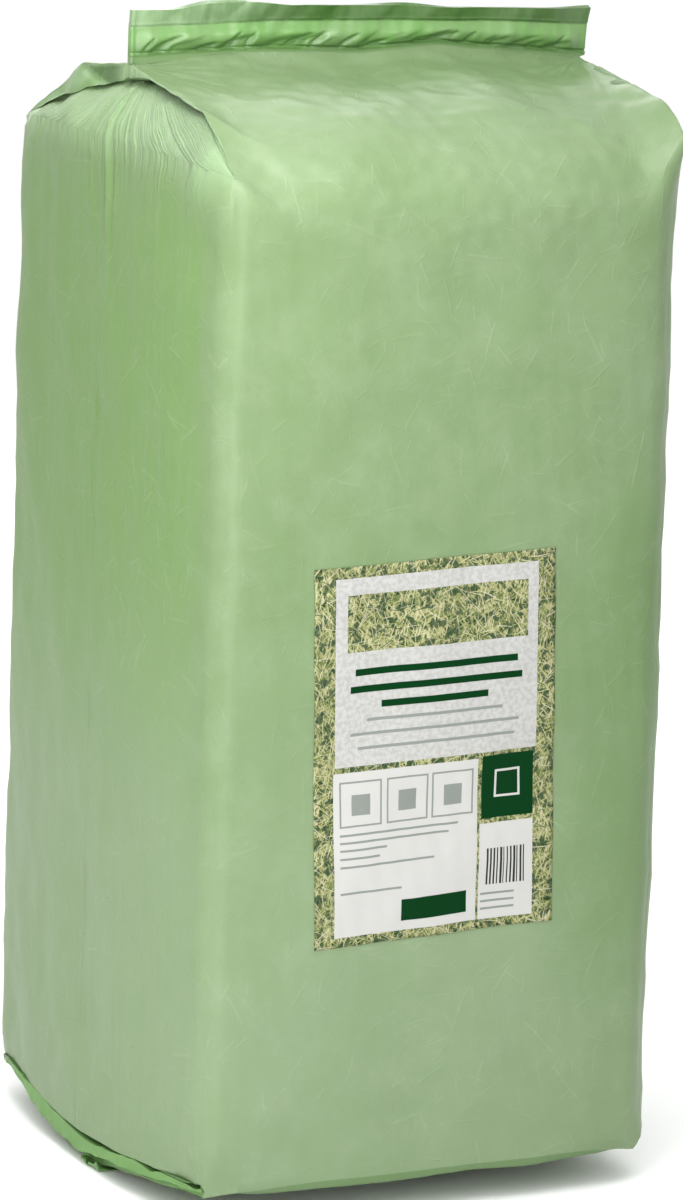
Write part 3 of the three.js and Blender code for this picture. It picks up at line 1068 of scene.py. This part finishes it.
def label_material(name, colours):
    """A printed sheet: hay-like ground, pale panels, plain bars and blocks, one dark square."""
    shader = Shader(name)
    flat = shader.film_place()
    u_metres, v_metres, _ = shader.split(flat)
    u = u_metres / (LABEL_WIDTH * MM)
    v = v_metres / (LABEL_HEIGHT * MM)

    def inside(left, right, top, bottom):
        return (u > left) * (u < right) * (v > top) * (v < bottom)

    blotch = shader.noise(flat, 110.0, 3.0, 0.65, "2D")
    dry = shader.noise(flat, 14.0, 2.0, 0.5, "2D").between(0.36, 0.60)
    hay = shader.blend(blotch.between(0.42, 0.60), (0.016, 0.036, 0.013), (0.082, 0.108, 0.034))
    for turn, scale, low, tint in (
        (0.42, (75, 480, 1), 0.50, (0.110, 0.140, 0.040)),
        (1.31, (70, 500, 1), 0.54, (0.235, 0.240, 0.110)),
        (2.23, (80, 520, 1), 0.55, (0.150, 0.180, 0.062)),
        (0.86, (60, 540, 1), 0.57, (0.330, 0.315, 0.170)),
        (1.83, (75, 560, 1), 0.58, (0.400, 0.385, 0.235)),
        (2.74, (65, 540, 1), 0.58, (0.300, 0.310, 0.140)),
    ):
        fibres = shader.noise(shader.moved(flat, turn=turn, scale=scale), 1.0, 2.0, 0.55, "2D")
        hay = shader.blend(fibres.between(low, low + 0.05) * (dry * 0.25 + 0.65), hay, tint)
    gaps = shader.noise(flat, 130.0, 2.0, 0.5, "2D")
    hay = shader.blend(gaps.between(0.515, 0.615) * 0.82, hay, (0.018, 0.044, 0.022))
    layers = (
        (0.0120, 0.00060, 0.0085, 0.37, (0.255, 0.252, 0.120)),
        (0.0105, 0.00050, 0.0070, 0.83, (0.365, 0.345, 0.205)),
        (0.0115, 0.00050, 0.0085, 1.07, (0.050, 0.090, 0.034)),
        (0.0130, 0.00050, 0.0095, 1.31, (0.420, 0.405, 0.285)),
        (0.0110, 0.00045, 0.0075, 1.57, (0.320, 0.325, 0.165)),
        (0.0095, 0.00045, 0.0070, 1.83, (0.034, 0.066, 0.026)),
        (0.0120, 0.00045, 0.0090, 2.11, (0.395, 0.385, 0.250)),
    )
    for cell, width, reach, offset, tint in layers:
        straw = shader.stalks(flat, cell, width, reach, offset, 0.9)
        hay = shader.blend((straw * (dry * 0.5 + 0.75)).clamped(), hay, tint)

    fibrous = shader.noise(shader.moved(flat, turn=0.5, scale=(90, 500, 1)), 1.0, 3.0, 0.6, "2D")
    cloudy = shader.noise(flat, 260.0, 3.0, 0.6, "2D").between(0.35, 0.65)
    veil = shader.blend(cloudy, (0.335, 0.335, 0.316), (0.397, 0.397, 0.384))
    white, dark = colours.label_panel, colours.label_dark
    grey = (0.186, 0.205, 0.186)

    layout = [
        (0.085, 0.925, 0.03, 0.525, veil),
        (0.136, 0.883, 0.075, 0.225, hay),
        *((left, right, top, top + 0.018, dark) for top, left, right in LABEL_TITLES),
        *((left, right, top, top + 0.008, grey) for top, left, right in LABEL_LINES),
        (0.08, 0.68, 0.54, 0.975, white),
    ]
    for left in (0.105, 0.299, 0.488):
        layout += [
            (left, left + 0.173, 0.564, 0.685, grey),
            (left + 0.007, left + 0.166, 0.569, 0.680, white),
            (left + 0.05, left + 0.125, 0.60, 0.655, grey),
        ]
    layout += [
        *((0.105, right, top, top + 0.006, grey) for top, right in LABEL_NOTES),
        (0.36, 0.64, 0.892, 0.950, dark),
        (0.697, 0.915, 0.535, 0.704, dark),
        (0.752, 0.860, 0.575, 0.650, white),
        (0.761, 0.851, 0.581, 0.644, dark),
        (0.69, 0.915, 0.717, 0.976, white),
        *((0.70, 0.84, top, top + 0.006, grey) for top in (0.905, 0.925, 0.945)),
    ]
    printed = hay
    for left, right, top, bottom, tint in layout:
        printed = shader.blend(inside(left, right, top, bottom), printed, tint)
    uneven = shader.noise(shader.moved(flat, scale=(420, 0.01, 1)), 1.0, 1.0, 0.5, "2D")
    stripes = (u * 72).math("FRACT") < uneven
    printed = shader.blend(stripes * inside(0.72, 0.882, 0.785, 0.884), printed, (0.019, 0.025, 0.019))

    ripple = shader.noise(flat, 45.0, 2.0, 0.5, "2D")
    bump = shader.add("ShaderNodeBump", {}, {"Strength": 0.35, "Distance": 1.0, "Height": ripple * 0.0008})
    return shader.finish(
        Base_Color=printed,
        Roughness=0.45 + fibrous * 0.08,
        Normal=bump.outputs[0],
        IOR=1.12,
    )


def floor_material(colour):
    """A plain pale floor with a hint of unevenness."""
    shader = Shader("pale_floor")
    grain = shader.noise(shader.place(), 3.0, 2.0)
    tone = shader.blend(grain, colour, [c * 1.02 for c in colour])
    return shader.finish(Base_Color=tone, Roughness=0.7)


def dressed(thing, material, slot, *nodes):
    """Gives a piece its finish, and lets it ride on the bale in the place of its CAD nodes."""
    thing.data.materials.append(material)
    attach(thing, BODY)
    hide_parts(*nodes)


def band_points(profile, along_steps):
    """A closed band: profile gives, at each share along it, its section as a ring of (x, y, z)."""
    return np.stack([profile(share) for share in np.linspace(0, 1, along_steps + 1)])


def band_faces(rows, ring):
    """Faces of a closed band with flat ends."""
    faces = []
    for i in range(rows - 1):
        for j in range(ring):
            k = (j + 1) % ring
            faces.append([i * ring + j, (i + 1) * ring + j, (i + 1) * ring + k, i * ring + k])
    last = (rows - 1) * ring
    half = ring // 2
    for j in range(half - 1):
        faces.append([j, j + 1, ring - 2 - j, ring - 1 - j])
        faces.append([last + j + 1, last + j, last + ring - 1 - j, last + ring - 2 - j])
    return faces


def seal_folds(x, z, low, high, seed):
    """Depth of the band's folds. Each climbs to the right from the lower line, then levels out."""
    rng = np.random.default_rng(seed)
    out = 0 * z
    start = SEAL_LEFT + 9
    while start < SEAL_RIGHT - 14:
        length = rng.uniform(12, 46)
        lift = rng.uniform(0.20, 0.62)
        width = rng.uniform(1.8, 3.6)
        depth = rng.uniform(0.8, 3.4)
        run = (x - start) / length
        climbed = 1 - (1 - clamp01(run)) ** 1.5
        away = z - low - (high - low) * (0.06 + lift * climbed)
        window = smooth(run / 0.3) * smooth((1 - run) / 0.45)
        spread = np.where(away > 0, 0.7, 1.7) * width
        out += depth * window * np.exp(-((away / spread) ** 2))
        start += rng.uniform(4, 19)
    return out


def top_seal_points(size, seed):
    """The welded band on the ridge: a puffed, folded band, a double weld line and a plain strip."""
    share = np.linspace(0, 1, size.seal_along_steps + 1)[:, None]
    skirt = np.linspace(0, 1, 6)
    band = eased(size.seal_up_steps, 0.1)[1:]
    strip = np.linspace(0, 1, 15)[1:]
    x = mix(SEAL_LEFT, SEAL_RIGHT, share)
    low, high, top = (curve(x, line) for line in (SEAL_LOW_LINE, SEAL_HIGH_LINE, SEAL_TOP_LINE))
    end = np.minimum(share, 1 - share) * (SEAL_RIGHT - SEAL_LEFT)
    foot = curve(x, RIDGE_LINE) - SEAL_TUCK * smooth(end / 14)
    low_side = mix(foot, low, skirt)
    z = np.concatenate([low_side, mix(low, high, band), mix(high, top, strip)], 1)
    band_level = SEAL_BAND_RISE * band + 0 * x
    strip_level = SEAL_BAND_RISE + SEAL_STRIP_RISE * strip + 0 * x
    level = np.concatenate([low_side - low, band_level, strip_level], 1)

    def swaying(shortest, longest, offset, slant=0.0):
        places = np.stack([x - slant * (z - low), 0.6 * (z - low), 0 * z], -1).reshape(-1, 3)
        return waves(places, shortest, longest, seed + offset).reshape(z.shape)

    along = np.stack([x, 0 * x, 0 * x], -1).reshape(-1, 3)
    sway = 1.3 * waves(along, 60, 240, seed + 1)[:, None] * smooth(end / 30)
    ripple = 1.1 * waves(along, 30, 100, seed + 4)[:, None] * smooth(end / 20)
    open_end = smooth((end - 2.5) / 15)
    margin = 0.8 * np.exp(-(((end - 2.6) / 0.9) ** 2))
    up = clamp01((z - low) / (top - low))
    at_band = clamp01((z - low) / (high - low))
    at_strip = clamp01((z - high) / (top - high))
    above = smooth((z - low) / 1.2)
    puff = np.sin(math.pi * at_band).clip(0) ** 0.6 * smooth((1 - at_band) / 0.5) ** 0.5

    weld = 0.45 * np.exp(-(((z - high - 1.7) / 0.7) ** 2)) - 0.5 * np.exp(-(((z - high) / 0.7) ** 2))
    pressed = mix(0.3, 1.0, smooth((x + 130) / 120))
    seam = 0.9 * np.exp(-(((z - low) / 0.8) ** 2)) - 1.9 * pressed * np.exp(-(((z - low - 1.5) / 0.8) ** 2))
    folds = seal_folds(x, z, low, high, seed + 2)
    soft = 1.0 * swaying(24, 70, 3, 0.8) + 0.3 * swaying(8, 22, 6, 0.5)
    held = 1.2 * clamp01((low - z) / np.maximum(low - foot, 0.1)) * smooth(end / 14)

    front = 1.8 + open_end * above * (5.2 * puff - folds + soft) + weld + seam + margin + held
    back = 1.6 + open_end * above * (3.0 * puff - 0.7 * folds[::-1] + soft) + 0.4 * weld + margin + held
    lean = sway * up - 3.0 * at_strip + ripple * at_strip**1.5
    flare = 2.2 * smooth((share - 0.97) / 0.03) * up**1.5
    raised = 2.2 * smooth(np.sin(share * 15 + 5.2) * 0.6 + 0.15)
    curl = at_strip**2
    front_side = np.stack([x + flare, lean - np.maximum(front, 0.8), z], -1)
    back_side = np.stack([x + flare, lean + np.maximum(back, 0.8) + 1.2 * curl, z + raised * curl], -1)
    points = np.concatenate([front_side, back_side[:, ::-1]], 1)
    levels = np.concatenate([level, level[:, ::-1]], 1)
    return points, np.stack([points[..., 0], levels], -1)


def bottom_seal_points(size, seed):
    """The band folded flat under the bale. Its left end is crumpled and shows."""
    across = np.linspace(0, 1, 15)

    def profile(share):
        x = mix(LOW_SEAL_LEFT, LOW_SEAL_RIGHT, share)
        tip = smooth(1 - (x - LOW_SEAL_LEFT) / 14)
        y = mix(LOW_SEAL_FRONT + 0.6, LOW_SEAL_BACK - 0.6, across)
        here = np.stack([np.full_like(across, x), y, 0 * across], -1)
        crumple = clamp01(ridges(here, 9, 26, seed)) * (0.8 + 3.0 * tip)
        under = 0.15 + 2.4 * tip * clamp01(waves(here, 14, 30, seed + 1) * 0.5 + 0.5)
        upper = under + 1.4 + np.minimum(crumple, 1.4 + 3.0 * tip)
        ends = np.sin(math.pi * across) ** 0.35
        upper = under + (upper - under) * mix(0.35, 1, ends)
        lower_side = np.stack([np.full_like(across, x), y, under], -1)
        upper_side = np.stack([x + 1.6 * tip * np.sin(across * 9), y, upper], -1)
        return np.concatenate([lower_side, upper_side[::-1]])

    points = band_points(profile, size.low_seal_steps)
    return points, np.stack([points[..., 0], 0 * points[..., 0] + 10], -1)


def label_points(bag, columns, rows):
    """Points of the bag's front under the label, in rows from the label's top."""
    tree = BVHTree.FromPolygons(
        [v.co for v in bag.data.vertices], [tuple(p.vertices) for p in bag.data.polygons]
    )
    turn = math.radians(LABEL_TURN)
    face = np.zeros((rows + 1, columns + 1, 3))
    for r in range(rows + 1):
        for c in range(columns + 1):
            across = (c / columns - 0.5) * LABEL_WIDTH
            up = (0.5 - r / rows) * LABEL_HEIGHT
            x = LABEL_CENTRE[0] + across * math.cos(turn) - up * math.sin(turn)
            z = LABEL_CENTRE[1] + across * math.sin(turn) + up * math.cos(turn)
            start = Vector(((x + SHIFT[0]) * MM, -2 * HALF_DEPTH * MM, z * MM))
            hit = tree.ray_cast(start, Vector((0, 1, 0)))[0]
            face[r, c] = (x, hit.y / MM - SHIFT[1], z)
    return face


def label_mesh(bag, columns=72, rows=104):
    """The label as a closed thin sheet, with its flat print coordinate for each face corner."""
    on_film = label_points(bag, columns, rows)
    front, back = on_film.copy(), on_film.copy()
    front[..., 1] -= LABEL_LIFT + LABEL_THICKNESS
    back[..., 1] -= LABEL_LIFT
    count = (rows + 1) * (columns + 1)
    index = np.arange(count).reshape(rows + 1, columns + 1)
    quads = np.stack([index[:-1, :-1], index[1:, :-1], index[1:, 1:], index[:-1, 1:]], -1).reshape(-1, 4)
    rim = np.concatenate([index[0, :-1], index[:-1, -1], index[-1, :0:-1], index[:0:-1, 0]])
    rim_quads = [[a, b, b + count, a + count] for a, b in zip(rim, np.roll(rim, -1))]
    faces = quads.tolist() + (quads[:, ::-1] + count).tolist() + [[int(i) for i in q] for q in rim_quads]
    flat = np.stack(
        np.meshgrid(np.linspace(0, LABEL_WIDTH, columns + 1), np.linspace(0, LABEL_HEIGHT, rows + 1)), -1
    ).reshape(-1, 2)
    flat = np.concatenate([flat, flat])
    corners = [i for face in faces for i in face]
    points = np.concatenate([front.reshape(-1, 3), back.reshape(-1, 3)])
    return points, faces, flat[corners]


COLOURS = (
    ("film_deep", "Film, deep", "The film where it stands clear of the hay", (0.141, 0.212, 0.096)),
    # Pale film tone, also the painted highlight of the pleats
    ("film_pale", "Film, pale", "The film where it is pressed on the hay", (0.173, 0.243, 0.129)),
    # Painted shade: the side panels' deeper green copy of the film
    ("film_side", "Film, sides", "The film on the side panels", (0.137, 0.241, 0.075)),
    # Painted shade by the ridge, on the panels' right part and on the top seal's skirt
    ("film_slack", "Film, slack", "The film where it stands off the hay in front", (0.118, 0.196, 0.076)),
    # Paler green for the seal strip's left end, and the painted sheen over the sides' rounded tops
    ("film_drawn", "Film, stretched", "The film over a side's rounded top, in front", (0.228, 0.330, 0.182)),
    # The painted sheen towards the back
    ("film_drawn_far", "Film, stretched behind", "The same, towards the back", (0.262, 0.395, 0.188)),
    ("film_shadow", "Film, inner", "The film deep in the folds", (0.045, 0.100, 0.024)),
    # Greyer patches of the film, and the painted reflection of the floor low on the walls
    ("film_dusty", "Film, greyed", "Greyer patches of the film", (0.205, 0.272, 0.165)),
    ("film_clear", "Film, folded", "The film where it is folded clear of the hay", (0.140, 0.280, 0.084)),
    ("stalk_mark", "Stalk marks", "Pale marks of stalks under the film", (0.360, 0.440, 0.280)),
    ("seal_puff", "Seal, puffed", "The top seal's lower, puffed band", (0.112, 0.245, 0.062)),
    # Doubled film of the seals, also the painted shade on the puffed band's lower part
    ("seal_deep", "Seal, deep", "The doubled film of the seals", (0.044, 0.112, 0.020)),
    ("label_panel", "Label panel", "The label's white panels", (0.424, 0.421, 0.405)),
    ("label_dark", "Label dark", "The label's dark green print", (0.0010, 0.028, 0.0058)),
)
STEPS = (
    ("cap_steps", "Cap steps", "Rows from a corner to a ridge", 90),
    ("wall_steps", "Wall steps", "Rows up a wall", 52),
    ("across_steps", "Steps across", "Columns of the front panel", 120),
    ("tuck_steps", "Dome steps", "Rows of a side's rounded top", 24),
    ("lip_steps", "Lip steps", "Rows of a top lip", 9),
    ("hem_steps", "Hem steps", "Rows of the folds under a side", 18),
    ("seal_along_steps", "Seal steps", "Sections along the top seal", 420),
    ("seal_up_steps", "Seal rows", "Rows up the top seal", 34),
    ("low_seal_steps", "Bottom seal steps", "Sections of the bottom seal", 160),
    ("seed", "Seed", "Seed of everything random", 11),
)
STRENGTHS = (
    ("relief", "Relief", "Strength of pleats and creases", 1.0),
    ("lumps", "Lumps", "Strength of the hay's lumps", 1.0),
)
LIGHTS = (
    ("surround", "Surround", "Strength of the even light", "NONE", 0.94),
    ("overhead", "Overhead", "Strength of the soft light from above", "NONE", 0.70),
    ("near_box", "Near box", "Power of the tall box in front", "POWER", 8.4),
    ("upper_box", "Upper box", "Power of the box above", "POWER", 6.1),
    ("back_box", "Back box", "Power of the wide box behind", "POWER", 47.0),
    ("low_box", "Low box", "Power of the small box low on the left", "POWER", 0.74),
    ("floor_size", "Floor size", "Width of the floor", "LENGTH", 60),
)


def colour_property(label, words, colour):
    return FloatVectorProperty(name=label, description=words, subtype="COLOR", default=colour)


class BaleColours(bpy.types.PropertyGroup):
    """Colours of the film and the label."""

    __annotations__ = {key: colour_property(*rest) for key, *rest in COLOURS}


class BaleSizes(bpy.types.PropertyGroup):
    """Mesh steps and the strength of the film's relief."""

    __annotations__ = {
        **{
            key: IntProperty(name=label, description=words, default=count, min=2)
            for key, label, words, count in STEPS
        },
        **{
            key: FloatProperty(name=label, description=words, default=strength, min=0)
            for key, label, words, strength in STRENGTHS
        },
    }


class BaleStage(bpy.types.PropertyGroup):
    """Floor, light and camera."""

    __annotations__ = {
        "floor_colour": colour_property("Floor", "Colour of the floor", (0.86, 0.86, 0.86)),
        **{
            key: FloatProperty(name=label, description=words, default=value, unit=unit, min=0)
            for key, label, words, unit, value in LIGHTS
        },
    }


class BALE_OT_bag(bpy.types.Operator):
    """Builds the film bag in the place of its CAD solid"""

    bl_idname = "bale.bag"
    bl_label = "Film bag"

    def execute(self, context):
        scene = context.scene
        sizes = scene.bale_sizes
        points, faces, flat, marks = bag_mesh(sizes)
        normals = normals_of(points, faces)
        relief = bag_relief(points, marks, sizes.relief, sizes.lumps, sizes.seed)
        points = channelled(points + normals * relief[:, None])
        shares = {name: marks[name] for name in FINISH_MARKS}
        bag = made_object("bag_film", points, faces, flat, shares)
        bag.data.set_sharp_from_angle(angle=math.radians(BAG_CREASE))
        dressed(bag, film_material("bag_film", scene.bale_colours), "bag_film", "filled_bag")
        return {"FINISHED"}


class BALE_OT_seals(bpy.types.Operator):
    """Builds the welded bands on the ridge and under the bale"""

    bl_idname = "bale.seals"
    bl_label = "Seals"

    def execute(self, context):
        scene = context.scene
        sizes = scene.bale_sizes
        material = seal_material("seal_film", scene.bale_colours)
        for name, (grid, flat), node in (
            ("welded_top_seal", top_seal_points(sizes, sizes.seed + SEAL_SEED), "top_seal"),
            ("folded_bottom_seal", bottom_seal_points(sizes, sizes.seed + LOW_SEAL_SEED), "bottom_seal"),
        ):
            faces = band_faces(*grid.shape[:2])
            corners = [i for face in faces for i in face]
            seal = made_object(name, grid.reshape(-1, 3), faces, flat.reshape(-1, 2)[corners])
            seal.data.set_sharp_from_angle(angle=math.radians(SEAL_CREASE))
            dressed(seal, material, "seal_film", node)
        return {"FINISHED"}


class BALE_OT_label(bpy.types.Operator):
    """Lays the printed label on the bag's front"""

    bl_idname = "bale.label"
    bl_label = "Label"

    def execute(self, context):
        scene = context.scene
        points, faces, flat = label_mesh(bpy.data.objects["bag_film"])
        label = made_object("printed_label", points, faces, flat)
        dressed(label, label_material("label_print", scene.bale_colours), "label_film", "label")
        return {"FINISHED"}


class BALE_OT_stage(bpy.types.Operator):
    """Adds the pale floor, the soft lights and the camera"""

    bl_idname = "bale.stage"
    bl_label = "Stage"

    def execute(self, context):
        scene = context.scene
        stage = scene.bale_stage
        self.add_floor(scene, stage)
        self.add_lights(scene, stage)
        self.add_camera(scene)
        return {"FINISHED"}

    def add_floor(self, scene, stage):
        half = stage.floor_size / 2
        mesh = bpy.data.meshes.new("floor")
        corners = [(-half, -half, 0), (half, -half, 0), (half, half, 0), (-half, half, 0)]
        mesh.from_pydata(corners, [], [(0, 1, 2, 3)])
        floor = bpy.data.objects.new("floor", mesh)
        floor.data.materials.append(floor_material(stage.floor_colour))
        scene.collection.objects.link(floor)

    def add_lights(self, scene, stage):
        scene.view_settings.view_transform = "Standard"
        world = bpy.data.worlds.new("surround")
        world.use_nodes = True
        background = world.node_tree.nodes["Background"]
        background.inputs["Color"].default_value = (1, 1, 1, 1)
        background.inputs["Strength"].default_value = stage.surround
        scene.world = world

        overhead = bpy.data.lights.new("overhead_light", "SUN")
        overhead.energy = stage.overhead
        overhead.angle = math.radians(40)
        self.place_light(scene, overhead, (-0.1, -0.15, 2.6), (0, 0, 0.45))

        for name, power, size, place, target in (
            ("near_softbox", stage.near_box, (0.3, 1.7), (-0.42, -0.62, 0.8), (-0.15, -0.2, 0.5)),
            ("upper_softbox", stage.upper_box, (1.0, 0.6), (-0.2, -0.75, 1.7), (-0.05, -0.15, 0.8)),
            ("back_softbox", stage.back_box, (3.5, 2.0), (-0.3, 2.5, 2.1), (-0.1, 0, 0.9)),
            ("low_softbox", stage.low_box, (0.8, 0.4), (-1.0, -0.6, 0.25), (-0.2, 0, 0.2)),
        ):
            box = bpy.data.lights.new(name, "AREA")
            box.shape = "RECTANGLE"
            box.size, box.size_y = size
            box.energy = power
            lamp = self.place_light(scene, box, place, target)
            lamp.visible_camera = False

    def place_light(self, scene, light, place, target):
        lamp = bpy.data.objects.new(light.name, light)
        lamp.location = place
        lamp.rotation_euler = (Vector(target) - lamp.location).to_track_quat("-Z", "Y").to_euler()
        scene.collection.objects.link(lamp)
        return lamp

    def add_camera(self, scene):
        azimuth, elevation, roll = (
            math.radians(a) for a in (CAMERA_AZIMUTH, CAMERA_ELEVATION, CAMERA_ROLL)
        )
        back = Vector(
            (
                math.sin(azimuth) * math.cos(elevation),
                -math.cos(azimuth) * math.cos(elevation),
                math.sin(elevation),
            )
        )
        right = Vector((0, 0, 1)).cross(back).normalized()
        up = back.cross(right)
        turned_right = math.cos(roll) * right + math.sin(roll) * up
        turned_up = -math.sin(roll) * right + math.cos(roll) * up
        target = (Vector(CAMERA_TARGET) + Vector(SHIFT)) * MM
        place = target + back * CAMERA_DISTANCE * MM
        data = bpy.data.cameras.new("camera")
        data.sensor_fit = "VERTICAL"
        data.sensor_height = SENSOR
        data.lens = FOCAL_PIXELS / PHOTO_HEIGHT * SENSOR
        data.clip_end = 100
        camera = bpy.data.objects.new("camera", data)
        turn = Matrix((turned_right, turned_up, back)).transposed().to_4x4()
        camera.matrix_world = Matrix.Translation(place) @ turn
        scene.collection.objects.link(camera)
        scene.camera = camera


OPERATORS = (BALE_OT_stage, BALE_OT_bag, BALE_OT_seals, BALE_OT_label)


class BALE_PT_panel(bpy.types.Panel):
    """Lists the bale's operators and settings"""

    bl_idname = "BALE_PT_panel"
    bl_label = "Bagged hay bale"
    bl_space_type = "VIEW_3D"
    bl_region_type = "UI"
    bl_category = "Bale"

    def draw(self, context):
        scene = context.scene
        for operator in OPERATORS:
            self.layout.operator(operator.bl_idname)
        for group in (scene.bale_sizes, scene.bale_colours, scene.bale_stage):
            column = self.layout.column()
            for name in group.bl_rna.properties.keys():
                if name not in ("rna_type", "name"):
                    column.prop(group, name)


CLASSES = (BaleColours, BaleSizes, BaleStage, *OPERATORS, BALE_PT_panel)


def register():
    for one in CLASSES:
        bpy.utils.register_class(one)
    bpy.types.Scene.bale_colours = PointerProperty(type=BaleColours)
    bpy.types.Scene.bale_sizes = PointerProperty(type=BaleSizes)
    bpy.types.Scene.bale_stage = PointerProperty(type=BaleStage)


def unregister():
    del bpy.types.Scene.bale_stage
    del bpy.types.Scene.bale_sizes
    del bpy.types.Scene.bale_colours
    for one in reversed(CLASSES):
        bpy.utils.unregister_class(one)


def main():
    register()
    bpy.ops.bale.stage()
    bpy.ops.bale.bag()
    bpy.ops.bale.seals()
    bpy.ops.bale.label()


if __name__ == "__main__":
    main()
